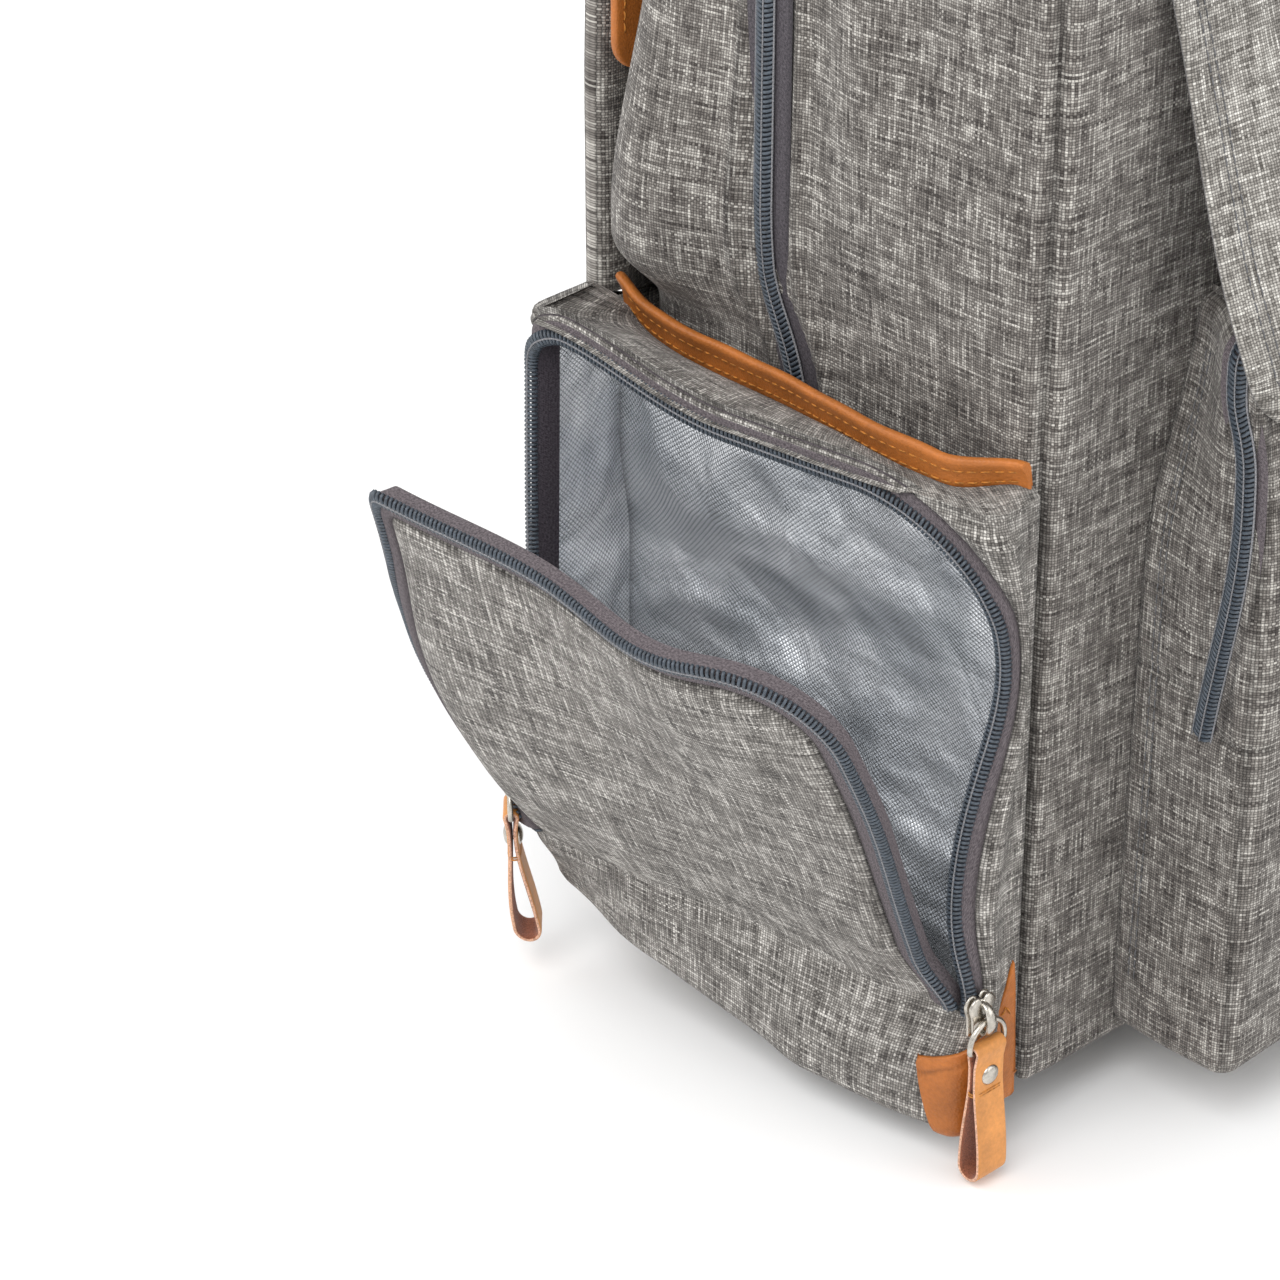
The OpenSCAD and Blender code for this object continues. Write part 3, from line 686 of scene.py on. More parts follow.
def wall(w, h, out=0.0, soft=1.0):
    """A point on the pocket's outside: w along its plan, h up from the bottom seam, out from the cloth."""
    w, h, out = np.broadcast_arrays(np.asarray(w, float), np.asarray(h, float), np.asarray(out, float))
    w = w + settle(w, h) * (1 - (1 - soft) * ease(h, 40 * MM, 60 * MM))
    xy = sample(w, PLAN_W, PLAN_XY)
    n = unit(sample(w, PLAN_W, PLAN_N))
    foot = foot_radius(w)
    turn = np.clip((foot - h) / foot, 0, math.pi / 2)
    inset = foot * (1 - np.cos(turn))
    z = np.where(h < foot, foot - foot * np.sin(turn) - out * np.sin(turn), h)
    xy = xy + n * (out * np.cos(turn) - inset)[..., None]
    return pocket_warp(np.concatenate([xy, (z + SEAM_Z)[..., None]], -1), soft)


def wall_normal(w):
    n = unit(sample(w, PLAN_W, PLAN_N))
    return np.concatenate([n, np.zeros(n.shape[:-1] + (1,))], -1)


def arch(offset, foot=HINGE_Z, corners=(), step=3 * MM):
    """The door's arch grown by offset: points (w, h) from the front foot over the top to the back foot."""
    middle = FACE_LEN / 2
    half, top = DOOR_HALF + offset, DOOR_TOP + offset
    rf, rb = DOOR_R_FRONT + offset, DOOR_R_BACK + offset
    rise = spread(foot, DOOR_TOP - DOOR_R_FRONT, step)[:-1]
    front_turn = np.unique(np.concatenate([np.linspace(0, math.pi / 2, 26), corners[:1]]))
    back_turn = np.unique(np.concatenate([np.linspace(0, math.pi / 2, 16), corners[1:]]))
    centre_f = (middle - DOOR_HALF + DOOR_R_FRONT, DOOR_TOP - DOOR_R_FRONT)
    centre_b = (middle + DOOR_HALF - DOOR_R_BACK, DOOR_TOP - DOOR_R_BACK)
    across = spread(centre_f[0], centre_b[0], step)[1:-1]
    fall = spread(foot, DOOR_TOP - DOOR_R_BACK, step)[::-1][1:]
    return np.concatenate([
        stack(middle - half, rise),
        stack(centre_f[0] - rf * np.cos(front_turn), centre_f[1] + rf * np.sin(front_turn)),
        stack(across, top),
        stack(centre_b[0] + rb * np.sin(back_turn), centre_b[1] + rb * np.cos(back_turn)),
        stack(middle + half, fall),
    ])


def outer_frame(points):
    """Where rays that leave the arch at a right angle meet the pocket's own outline."""
    middle = FACE_LEN / 2
    centre_f = np.array([middle - DOOR_HALF + DOOR_R_FRONT, DOOR_TOP - DOOR_R_FRONT])
    centre_b = np.array([middle + DOOR_HALF - DOOR_R_BACK, DOOR_TOP - DOOR_R_BACK])
    ends = []
    for w, h in points:
        if h <= centre_f[1] and w < middle:
            ends.append([W_START, h])
        elif h <= centre_b[1] and w > middle:
            ends.append([W_END, h])
        elif w <= centre_f[0]:
            ends.append(ray_end(centre_f, np.array([w, h]) - centre_f, W_START))
        elif w >= centre_b[0]:
            ends.append(ray_end(centre_b, np.array([w, h]) - centre_b, W_END))
        else:
            ends.append([w, POCKET_TOP])
    return np.array(ends)


def ray_end(centre, d, side):
    to_top = (POCKET_TOP - centre[1]) / d[1] if d[1] > 1e-9 else 1e9
    to_side = (side - centre[0]) / d[0] if abs(d[0]) > 1e-9 else 1e9
    return (centre + d * min(to_top, to_side)).tolist()


def slip_wall(y):
    """X of the inner side of the pocket's top, beside the slip pocket."""
    return HALF_W + 9.5 * MM - (y + HALF_D) * (5 * MM / (2 * HALF_D))


def band_place(t):
    """Line of the leather rim from its front end (t 0) to its back end (t 1), at its lower edge."""
    y = -76.5 * MM + 150 * MM * t
    hug = 1 - ease(t, 0, 0.13)
    x = HALF_W + 2.5 * MM + (slip_wall(y) - HALF_W + 5 * MM * bell(t, 0.28, 0.22)) * (1 - hug)
    x = x - 3 * MM * ease(t, 0.8, 1.0)
    z = SEAM_Z + 191 * MM + 2.5 * MM * hug - 5 * MM * ease(t, 0.3, 0.8) + 5 * MM * bell(t, 1.02, 0.06)
    return x, y, z


def make_pocket(side):
    """The pocket's cloth: its outer wall round the mouth, top, slip pocket, back end and bottom."""
    name = SIDE_NAME[side]
    cloth = Shape()
    middle = FACE_LEN / 2
    corner_f = math.atan2(POCKET_TOP - (DOOR_TOP - DOOR_R_FRONT), middle - DOOR_HALF + DOOR_R_FRONT - W_START)
    corner_b = math.atan2(W_END - (middle + DOOR_HALF - DOOR_R_BACK), POCKET_TOP - (DOOR_TOP - DOOR_R_BACK))
    edge = arch(TAPE_EDGE, -2.2 * MM, (corner_f, corner_b))
    far = outer_frame(edge)
    share = np.concatenate([[0, 0.03, 0.08], np.linspace(0.15, 1, 15)])
    domain = edge[None] + (far - edge)[None] * share[:, None, None]
    w, h = domain[..., 0], domain[..., 1]
    plain = wall(w, h)
    puff = 1.6 * MM * bell(share, 0.28, 0.2)[:, None] * ease(h, 0, 40 * MM)
    puff = puff + 1.1 * MM * lumps(plain, 34 * MM, 1) * np.sin(np.pi * share)[:, None]
    puff = puff * ease(np.linalg.norm(far - edge, axis=-1), 1 * MM, 14 * MM)
    points = wall(w, h, puff - 0.9 * MM * bell(share, 0, 0.04)[:, None])
    # Painted shade: darker along the mouth, where the cloth turns down to the zip tape.
    tone = 1 - 0.3 * bell(share, 0, 0.05)[:, None] * np.ones_like(w)
    cloth.grid(points, weave=stack(w, h), shade=tone, skirt=2.5 * MM)
    # top face, from the outer wall's upper edge to the leather rim
    t = np.linspace(0, 1, 60)
    bx, by, bz = band_place(t)
    inner = stack(bx + 0.8 * MM, by, bz + 1.5 * MM)
    top_w = np.interp(t, [0, 0.06, 0.12, 0.9, 0.95, 1],
                      [W_START, -4 * MM, 6 * MM, 146 * MM, 162 * MM, W_END - 2 * MM])
    outer = wall(top_w, POCKET_TOP)
    s = np.linspace(0, 1, 14)
    sheet = inner[None] + (outer - inner)[None] * s[:, None, None]
    dome = 2.2 * MM * np.sin(np.pi * s)[:, None] * np.sin(np.pi * np.clip(t * 1.02, 0, 1))[None, :]
    dip = 1.4 * MM * bell(s, 0, 0.12)[:, None] * np.ones_like(t)[None, :]
    sheet[..., 2] += dome - dip + 0.8 * MM * lumps(sheet, 26 * MM, 3) * np.sin(np.pi * s)[:, None]
    weave = stack(t[None, :] * 155 * MM, s[:, None] * 26 * MM)
    # Painted shade: the top is darker next to the leather rim.
    tone = 1 - 0.35 * bell(s, 0, 0.1)[:, None] * np.ones_like(t)[None, :]
    cloth.grid(sheet, weave=weave, shade=tone, flip=True)
    # slip pocket side below the rim
    down = np.linspace(0, 1, 10)
    fall = down[:, None]
    slip_x = bx + (slip_wall(by) - 1.5 * MM - bx) * ease(fall, 0, 0.3)
    slip = stack(slip_x, by[None, :], bz[None, :] * (1 - fall) + (SEAM_Z + 132 * MM) * fall)
    slip[..., 0] += (pocket_warp(slip)[..., 0] - slip[..., 0] - 1.5 * MM) * ease(fall, 0, 0.25)
    cloth.grid(slip, slot=1)
    # wall that closes the slip pocket at its back end
    close = np.array([[bx[-1], by[-1]], [HALF_W - 1 * MM, 77 * MM],
                      [HALF_W - 8 * MM, 80 * MM], [HALF_W - 18 * MM, 81 * MM]])
    cloth.grid(stack(close[None, :, 0], close[None, :, 1], SEAM_Z + 202 * MM - 60 * MM * fall))
    # bottom, turned in from the seam
    fw = spread(W_START, W_END, 3 * MM)
    rim = wall(fw, -3 * MM)
    core = stack(BODY_LINE, rim[:, 1], SEAM_Z + 0.3 * MM)
    s = np.linspace(0, 1, 6)
    cloth.grid(rim[None] + (core - rim)[None] * s[:, None, None], flip=True)
    # The left pocket takes the lighter copy of the cloth: painted light on the side that faces the lamps.
    piece = cloth.make(f"{name}_pocket_cloth", [LIT_DOOR_CLOTH if side < 0 else CLOTH, LINING], "cloth", "bag",
                       (f"{name}_pocket",), side)
    make_mouth(side)
    make_liner(side)
    make_band(side)
    make_patch(side)


def make_mouth(side):
    """Zip tape, coil and inner facing along the pocket's mouth."""
    name = SIDE_NAME[side]
    mouth = Shape()
    rings = np.array([9.4, 8.6, 7.0, 5.0, 3.0, 1.4, 0.8]) * MM
    lift = np.array([-1.3, -0.5, 0.1, 0.25, 0.25, 0.1, -0.4]) * MM
    # Painted shade across the tape: darkest where its outer edge runs under the cloth, a little darker beside
    # the coil.
    tone = np.array([0.45, 0.6, 0.95, 1, 1, 1, 0.8])
    strip = np.stack([arch(d, 36 * MM) for d in rings])
    tape = wall(strip[..., 0], strip[..., 1], lift[:, None])
    mouth.grid(tape, 0, shade=tone[:, None] * np.ones(tape.shape[:2]), flip=True)
    line = arch(2.7 * MM, HINGE_Z - 2 * MM)
    path = wall(line[:, 0], line[:, 1], 0.2 * MM)
    coil_edge(mouth, path, wall_normal(line[:, 0]), 1, cord_slot=2)
    depth = np.array([0, 1.5, 4, 7.5]) * MM
    line = arch(0.9 * MM, 36 * MM)
    facing = np.stack([wall(line[:, 0], line[:, 1], -d) for d in depth])
    # Painted shade: the darker tape copy on the facing, darker still deeper inside the pocket.
    mouth.grid(facing, 3, shade=np.array([1, 0.9, 0.8, 0.7])[:, None] * np.ones(facing.shape[:2]), flip=True)
    mouth.make(f"{name}_pocket_zip_edge", [TAPE, COIL, CORD, TAPE_SHADED], "zip_coil", "bag",
               (f"{name}_pocket_zip",), side)


def make_liner(side):
    """Foil walls of the pocket's room, crinkled, open at the arch."""
    name = SIDE_NAME[side]
    liner = Shape()
    low, high = SEAM_Z + 4.5 * MM, SEAM_Z + 185 * MM
    front, back = -HALF_D + 5 * MM, HALF_D - 5 * MM

    def inner_x(y, z):
        step = ease(z - SEAM_Z, 118 * MM, 150 * MM)
        return HALF_W + 4.4 * MM + (slip_wall(y) - HALF_W) * step

    def outer_x(y):
        return HALF_W + FRONT_OUT + (y + HALF_D) * math.tan(FACE_ANGLE) - 8 * MM

    def crinkle(p, seed, amount=1.0):
        fold = 1 - np.abs(lumps(p, 30 * MM, seed))
        small = 1 - np.abs(lumps(p, 13 * MM, seed + 1))
        return amount * MM * (3.2 * fold ** 2 + 1.5 * small ** 2 - 2.2)

    def lean(p):
        """The pocket's own leaning, but held under the cloth of its top."""
        p = pocket_warp(p)
        outer = np.clip((p[..., 0] - HALF_W - 14 * MM) / (30 * MM), 0, 1)
        rise = 9 * MM * outer * ease(p[..., 1], 5 * MM, 66 * MM)
        return stack(p[..., 0], p[..., 1], np.minimum(p[..., 2], SEAM_Z + 185 * MM + rise))

    y = spread(front, back, 2.4 * MM)
    z = spread(low, high, 2.4 * MM)
    yy, zz = np.meshgrid(y, z)
    base = stack(inner_x(yy, zz), yy, zz)
    border = np.minimum(np.minimum(yy - front, back - yy) / (14 * MM), 1)
    base[..., 0] += crinkle(base, 5) * border + 0.6 * MM
    # Painted shade: the inner wall darkens in its corner with the back wall.
    liner.grid(lean(base), weave=stack(yy, zz), shade=1 - 0.5 * bell(yy, back, 2 * MM))
    for face, flip in ((back, False), (front, True)):
        x = np.linspace(0, 1, 22)
        xx, zz = np.meshgrid(x, z)
        x0, x1 = inner_x(face, zz) + 0.6 * MM, outer_x(face) + 1.5 * MM
        p = stack(x0 + (x1 - x0) * xx, face, zz)
        p[..., 1] += np.sign(-face) * crinkle(p, 8, 0.7) * np.sin(np.pi * xx)
        # Painted light: both end walls are made brighter.
        liner.grid(lean(p), weave=stack(p[..., 0], zz), flip=flip, shade=np.full(p.shape[:2], 1.2))
    for level, flip in ((low, False), (high, True)):
        x = np.linspace(0, 1, 14)
        xx, yy = np.meshgrid(x, y)
        x0, x1 = inner_x(yy, level), outer_x(yy) + 3 * MM
        p = stack(x0 + (x1 - x0) * xx, yy, level)
        p[..., 2] += (1 if level == low else -1) * np.abs(crinkle(p, 2, 0.5)) * np.sin(np.pi * xx)
        # Painted shade: the floor and roof of the lining are darker.
        liner.grid(lean(p), weave=stack(p[..., 0], yy), flip=flip, shade=np.full(p.shape[:2], 0.85))
    inner_edge = arch(1.5 * MM, 36 * MM)
    far = outer_frame(inner_edge)
    far = np.clip(far, [5 * MM, 4.5 * MM], [FACE_LEN - 5 * MM, 186 * MM])
    share = np.linspace(0, 1, 8)
    domain = inner_edge[None] + (far - inner_edge)[None] * share[:, None, None]
    w, h = domain[..., 0], domain[..., 1]
    liner.grid(pocket_flat(w, h, -7.6 * MM), weave=stack(w, h), flip=True)
    liner.make(f"{name}_foil_lining", [FOIL], "foil_lining", "bag", (f"{name}_foil_liner",), side)


def pocket_flat(w, h, out):
    """A point on the plane of the pocket's outer face, for its inner side."""
    face = np.array([math.sin(FACE_ANGLE), math.cos(FACE_ANGLE)])
    normal = np.array([math.cos(FACE_ANGLE), -math.sin(FACE_ANGLE)])
    start = np.array([HALF_W + FRONT_OUT, -HALF_D])
    xy = start + np.asarray(w)[..., None] * face + out * normal
    return pocket_warp(np.concatenate([xy, (np.asarray(h) + SEAM_Z)[..., None]], -1))


def make_band(side):
    """Leather rim of the slip pocket, rolled over its top edge, with two rows of stitches."""
    name = SIDE_NAME[side]
    band = Shape()
    t = np.linspace(0, 1, 110)
    x, y, z = band_place(t)
    line = stack(x, y, z)
    across = unit(np.cross(np.gradient(line, axis=0), [0, 0, 1]))
    wave = 0.3 * MM * np.sin(t * 11) + 0.15 * MM * np.sin(t * 37 + 1)
    height = 11.2 * MM - 3.0 * MM * bell(t, 0, 0.09)
    profile = [(0.6, -0.06), (1.5, 0.0), (1.7, 0.12), (1.55, 0.4), (1.9, 0.62), (2.5, 0.8), (2.5, 0.93),
               (1.6, 1.0), (0.3, 1.0), (-0.7, 0.93), (-0.9, 0.75), (-0.5, 0.5), (-0.3, 0.0), (0.6, -0.06)]
    rows = []
    for out, up in profile:
        lean = out * MM + 2.6 * MM * up ** 1.5
        rows.append(line + across * lean + stack(0 * t, 0 * t, height * up + wave * up))
    band.grid(np.array(rows), 0)
    for end in (0, -1):
        ring = np.array([r[end] for r in rows[:-1]])
        order = ring if end == 0 else ring[::-1]
        band.add(order, [list(range(len(order)))], 0)
    for up in (0.2, 0.56):
        lean = 1.65 * MM + 2.6 * MM * up ** 1.5
        path = line + across * lean + stack(0 * t, 0 * t, (height + wave) * up)
        stitches(band, path[2:-2], across[2:-2] + [0, 0, 0.35], 1, lift=0.12 * MM)
    band.make(f"{name}_pocket_rim", [LEATHER, THREAD_OCHRE], "leather", "bag", (f"{name}_pocket_band",), side)


def make_patch(side):
    """Leather wrapped round the pocket's lower front corner: a leaf in front, a flap on the outer face."""
    name = SIDE_NAME[side]
    patch = Shape()
    w = np.concatenate([spread(W_START + 0.3 * MM, -3 * MM, 0.8 * MM), spread(-2.5 * MM, 16 * MM, 0.8 * MM)])
    top_line = np.interp(w / MM, [-18.3, -17.4, -16.6, -15.6, -14, -12, -9, -6, -3, 0, 4, 8, 12, 16],
                         [6, 12, 32, 48, 45, 40, 35.5, 32, 29, 27, 25, 23, 21, 20]) * MM
    low_line = np.interp(w / MM, [6, 16], [-2.5, 18]) * MM
    s = np.concatenate([[0], np.linspace(0.02, 0.97, 26), [0.985, 1]])[:, None]
    h = low_line + (top_line - low_line) * s
    fold = bell(h - (top_line - 4.5 * MM), 0, 0.6 * MM) * (w > 0)
    out = 0.7 * MM + 0.3 * MM * bell(s, 0.97, 0.03) - 0.8 * MM * (s == 1) - 0.45 * MM * fold
    # Painted shade in the crease where the leather folds.
    patch.grid(wall(w, h, out), 0, shade=1 - 0.35 * fold, skirt=0.9 * MM)
    line_w = np.linspace(-14.5, -8.5, 14) * MM
    line_h = np.interp(line_w / MM, [-14.5, -12, -8.5], [30, 33.5, 30]) * MM
    path = wall(line_w, line_h, 0.8 * MM)
    stitches(patch, path, wall_normal(line_w), 1)
    patch.make(f"{name}_corner_leather", [LEATHER, THREAD_OCHRE], "leather", "bag",
               (f"{name}_corner_patch",), side)


# ---------------------------------------------------------------- doors


def door_turn(side, w, h, out=0.0):
    """Door points, made shut on the right side, then turned to where that side's door stands at rest.

    The open door's cloth is slack: its top edge bows out, its back edge rolls in, its back corner reaches
    back, and it bellies out and back between its foot and that corner.
    """
    opened = -math.radians(joints[f"{SIDE_NAME[side]}_door_hinge"]["range_deg"][0])
    slack = 1.0 if opened > 0 else 0.0
    w, h, out = np.broadcast_arrays(np.asarray(w, float), np.asarray(h, float), np.asarray(out, float))
    roll_r, roll_from = 9 * MM, 135 * MM
    free = ease(h, 35 * MM, 46 * MM)
    roll = slack * np.clip((w - roll_from) / roll_r, 0, 1.05) * free
    roll = roll * (1 - 0.5 * ease(h, 120 * MM, 165 * MM))
    shut = wall(np.where(roll > 0, np.minimum(w, roll_from), w), h, 0 * out, 1 - slack)
    rest = np.where(roll > 0, w - roll_from, 0)
    straight = np.maximum(rest - roll_r * 1.05, 0)
    flat = rest * (1 - free) * slack
    curl = np.where(roll > 0, 1.0, 0) * free
    ahead = curl * (roll_r * np.sin(roll) + straight * np.cos(roll)) + flat
    inward = curl * (roll_r * (1 - np.cos(roll)) + straight * np.sin(roll))
    along = np.array([math.sin(FACE_ANGLE), math.cos(FACE_ANGLE), 0])
    outward = np.array([math.cos(FACE_ANGLE), -math.sin(FACE_ANGLE), 0])
    normal = outward * np.cos(roll)[..., None] + along * np.sin(roll)[..., None]
    belly = bell(h, 104 * MM, 58 * MM)
    out = out + slack * 5 * MM * bell(w, 140 * MM, 40 * MM) * belly
    points = shut + ahead[..., None] * along - inward[..., None] * outward + out[..., None] * normal
    bow = slack * math.radians(4.5) * bell(w, 54 * MM, 34 * MM) * ease(h, 50 * MM, 180 * MM)
    corner = bell(w, 16 * MM, 22 * MM) * bell(h, 172 * MM, 26 * MM)
    dip = slack * (-6.5 * MM * bell(w, 72 * MM, 46 * MM) * ease(h, 90 * MM, 183 * MM) - 3 * MM * corner)
    dip = dip + slack * 4 * MM * bell(w, 150 * MM, 16 * MM) * ease(h, 150 * MM, 185 * MM)
    reach = 14.5 * MM * ease(w, 96 * MM, 148 * MM) * ease(h, 10 * MM, 62 * MM)
    reach = reach + 8 * MM * ease(w, 100 * MM, 150 * MM) * belly
    reach = slack * (reach - 3 * MM * bell(w, 8 * MM, 20 * MM) * bell(h, 122 * MM, 34 * MM))
    points = points + reach[..., None] * along + dip[..., None] * np.array([0, 0, 1])
    joint = joints["right_door_hinge"]
    pivot, axis = np.array(joint["pos_m"]), unit(np.array(joint["axis"], float))
    v = points - pivot
    angle = (opened + bow)[..., None]
    cos, sin = np.cos(angle), np.sin(angle)
    return v * cos + np.cross(axis, v) * sin + axis * (v @ axis)[..., None] * (1 - cos) + pivot


def door_bounds(h, offset):
    """The two sides of the door's outline at height h, inset by offset."""
    middle = FACE_LEN / 2
    half, top = DOOR_HALF - offset, DOOR_TOP - offset
    sides = []
    for sign, radius in ((-1, DOOR_R_FRONT - offset), (1, DOOR_R_BACK - offset)):
        over = np.clip(np.asarray(h, float) - (top - radius), 0, radius)
        sides.append(middle + sign * (half - radius + np.sqrt(np.maximum(radius ** 2 - over ** 2, 0))))
    return sides


def door_shape(w, h):
    """How far the door's cloth stands out: swollen in the middle, a little slack between its corners."""
    across = np.clip((w - (FACE_LEN / 2 - DOOR_HALF)) / (2 * DOOR_HALF), 0, 1)
    up = np.clip(h / DOOR_TOP, 0, 1)
    rise = np.sin(np.pi * np.clip(up * 0.9 + 0.08, 0, 1)) ** 0.7
    return 4.5 * MM * np.sin(np.pi * across) ** 0.6 * rise


def make_door(side):
    """The door's padded cloth, which turns over along its bottom fold."""
    name = SIDE_NAME[side]
    top = DOOR_TOP - TAPE_EDGE
    rows = np.concatenate([
        spread(-3 * MM, 34 * MM, 2.2 * MM)[:-1], np.array([34, 35.5, 37, 38.5, 40]) * MM,
        spread(42.2 * MM, top - 37 * MM, 2.2 * MM),
        top - 36.4 * MM + 36.4 * MM * np.sin(np.linspace(0.06, math.pi / 2, 24)),
    ])
    low, high = door_bounds(rows, TAPE_EDGE)
    wide = 2 * TAPE_EDGE
    narrow = ease(rows, 33.5 * MM, 40 * MM)
    low = low - wide * (1 - narrow)
    high = high + wide * (1 - narrow)
    share = spread(0, 1, 0.016, 0.05)
    w = low[:, None] + (high - low)[:, None] * share[None, :]
    h = np.broadcast_to(rows[:, None], w.shape)
    rim = np.minimum(np.minimum(w - low[:, None], high[:, None] - w), top - h)
    roll = np.clip(rim / (6 * MM), 0, 1)
    above = ease(h, HINGE_Z - 2 * MM, HINGE_Z + 30 * MM)
    puff = door_shape(w, h) * (0.25 + 0.75 * above) + 0.6 * MM
    puff = puff * np.sqrt(1 - (1 - roll) ** 2) - 0.6 * MM
    base = wall(w, h)
    puff = puff + 1.1 * MM * roll * lumps(base, [40 * MM, 26 * MM, 52 * MM], 6)
    puff = puff + 0.5 * MM * roll * lumps(base, 13 * MM, 9)
    # Painted shade: darker along the cloth's rim, where it turns in against the zip tape.
    tone = 1 - 0.4 * bell(rim, 0, 0.9 * MM) * above
    share_up = ease(h, HINGE_Z - 3 * MM, HINGE_Z + 3 * MM)[..., None]
    outside = wall(w, h, puff) * (1 - share_up) + door_turn(side, w, h, puff) * share_up
    cloth = Shape()
    cloth.grid(outside, weave=stack(w, h), shade=tone, skirt=1.5 * MM)
    piece = cloth.make(f"{name}_door_cloth", [LIT_DOOR_CLOTH], "cloth", None, (f"{name}_door",), side)
    x, _, z = joints[f"{name}_door_hinge"]["pos_m"]
    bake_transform(piece)
    make_door_edge(side)
    make_door_lining(side)


def make_door_edge(side):
    """Zip tape and coil round the door's free edge, and the tape turned in behind them."""
    name = SIDE_NAME[side]
    edge = Shape()
    rings = np.array([9.4, 8.6, 7.0, 5.0, 3.2, 1.2, 0.3]) * MM
    lift = np.array([-1.2, -0.4, 0.3, 0.5, 0.4, 0.2, -0.5]) * MM
    # Painted shade across the tape: darkest where its outer edge runs under the cloth, a little darker beside
    # the coil.
    tone = np.array([0.4, 0.55, 0.95, 1, 1, 1, 0.85])
    strip = np.stack([arch(-d, HINGE_Z + 0.5 * MM) for d in rings])
    w, h = strip[..., 0], strip[..., 1]
    tape = door_turn(side, w, h, lift[:, None] + 0.12 * door_shape(w, h))
    edge.grid(tape, 0, shade=tone[:, None] * np.ones(strip.shape[:2]))
    line = arch(-1.8 * MM, HINGE_Z + 1 * MM)
    path = door_turn(side, line[:, 0], line[:, 1], 0.3 * MM)
    ahead = door_turn(side, line[:, 0], line[:, 1], 1.3 * MM)
    coil_edge(edge, path, unit(ahead - path), 1, cord_slot=2, width=4.2 * MM)
    depth = np.array([0.4, 1.4, 3.2, 5.0]) * MM
    line = arch(-0.4 * MM, HINGE_Z + 0.5 * MM)
    inner = arch(-1.6 * MM, HINGE_Z + 0.5 * MM)
    domain = np.stack([line * (1 - k) + inner * k for k in (0, 0.2, 0.6, 1)])
    edge.grid(door_turn(side, domain[..., 0], domain[..., 1], -depth[:, None]), 0)
    edge.make(f"{name}_door_zip_edge", [TAPE, COIL, CORD], "zip_coil", f"{name}_door",
              (f"{name}_door_zip",), side)


def make_door_lining(side):
    """Foil on the door's inner side."""
    name = SIDE_NAME[side]
    lining = Shape()
    turn = np.linspace(0.03, math.pi / 2, 22)
    rows = np.concatenate([
        spread(HINGE_Z + 1 * MM, DOOR_TOP - 46 * MM, 3 * MM),
        DOOR_TOP - 1.6 * MM - 43.4 * MM * (1 - np.sin(turn)),
    ])
    low, high = door_bounds(rows, 1.6 * MM)
    share = spread(0, 1, 0.02, 0.04)
    w = low[:, None] + (high - low)[:, None] * share[None, :]
    h = np.broadcast_to(rows[:, None], w.shape)
    base = wall(w, h)
    rim = np.clip(np.minimum(np.minimum(w - low[:, None], high[:, None] - w), rows[-1] - h) / (10 * MM), 0, 1)
    fold = 1 - np.abs(lumps(base, 28 * MM, 4))
    out = -5.0 * MM + rim * MM * (1.6 * fold ** 2 - 0.6)
    lining.grid(door_turn(side, w, h, out), weave=stack(w, h), flip=True)
    lining.make(f"{name}_door_foil", [FOIL], "foil_lining", f"{name}_door", (f"{name}_door_lining",), side)


# ---------------------------------------------------------------- body


FRONT_R, BACK_R = 14 * MM, 20 * MM
SIDE_TOP_R, FACE_TOP_R = 30 * MM, 12 * MM
SEAM_INSET = FRONT_R * 0.293
PANEL_LOW, PANEL_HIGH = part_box("top_panel")


def body_ring():
    """Plan of the body as (x, y, nx, ny), from the middle of the back round by the left side."""
    pieces = []

    def line(p, q, n, step=2.6 * MM):
        k = max(2, int(np.linalg.norm(np.subtract(q, p)) / step))
        t = np.linspace(0, 1, k, endpoint=False)[:, None]
        pieces.append(np.concatenate([np.add(p, t * np.subtract(q, p)), np.broadcast_to(n, (k, 2))], 1))

    def corner(cx, cy, r, a0, a1, k=16):
        a = np.radians(np.linspace(a0, a1, k, endpoint=False))
        pieces.append(np.stack([cx + r * np.cos(a), cy + r * np.sin(a), np.cos(a), np.sin(a)], -1))

    rf, rb = FRONT_R, BACK_R
    line((0, HALF_D), (-HALF_W + rb, HALF_D), (0, 1))
    corner(-HALF_W + rb, HALF_D - rb, rb, 90, 180)
    line((-HALF_W, HALF_D - rb), (-HALF_W, -HALF_D + rf), (-1, 0), 2.0 * MM)
    corner(-HALF_W + rf, -HALF_D + rf, rf, 180, 270, 20)
    line((-HALF_W + rf, -HALF_D), (HALF_W - rf, -HALF_D), (0, -1))
    corner(HALF_W - rf, -HALF_D + rf, rf, 270, 360, 20)
    line((HALF_W, -HALF_D + rf), (HALF_W, HALF_D - rb), (1, 0), 2.0 * MM)
    corner(HALF_W - rb, HALF_D - rb, rb, 0, 90)
    line((HALF_W - rb, HALF_D), (0, HALF_D), (0, 1))
    return np.concatenate(pieces)


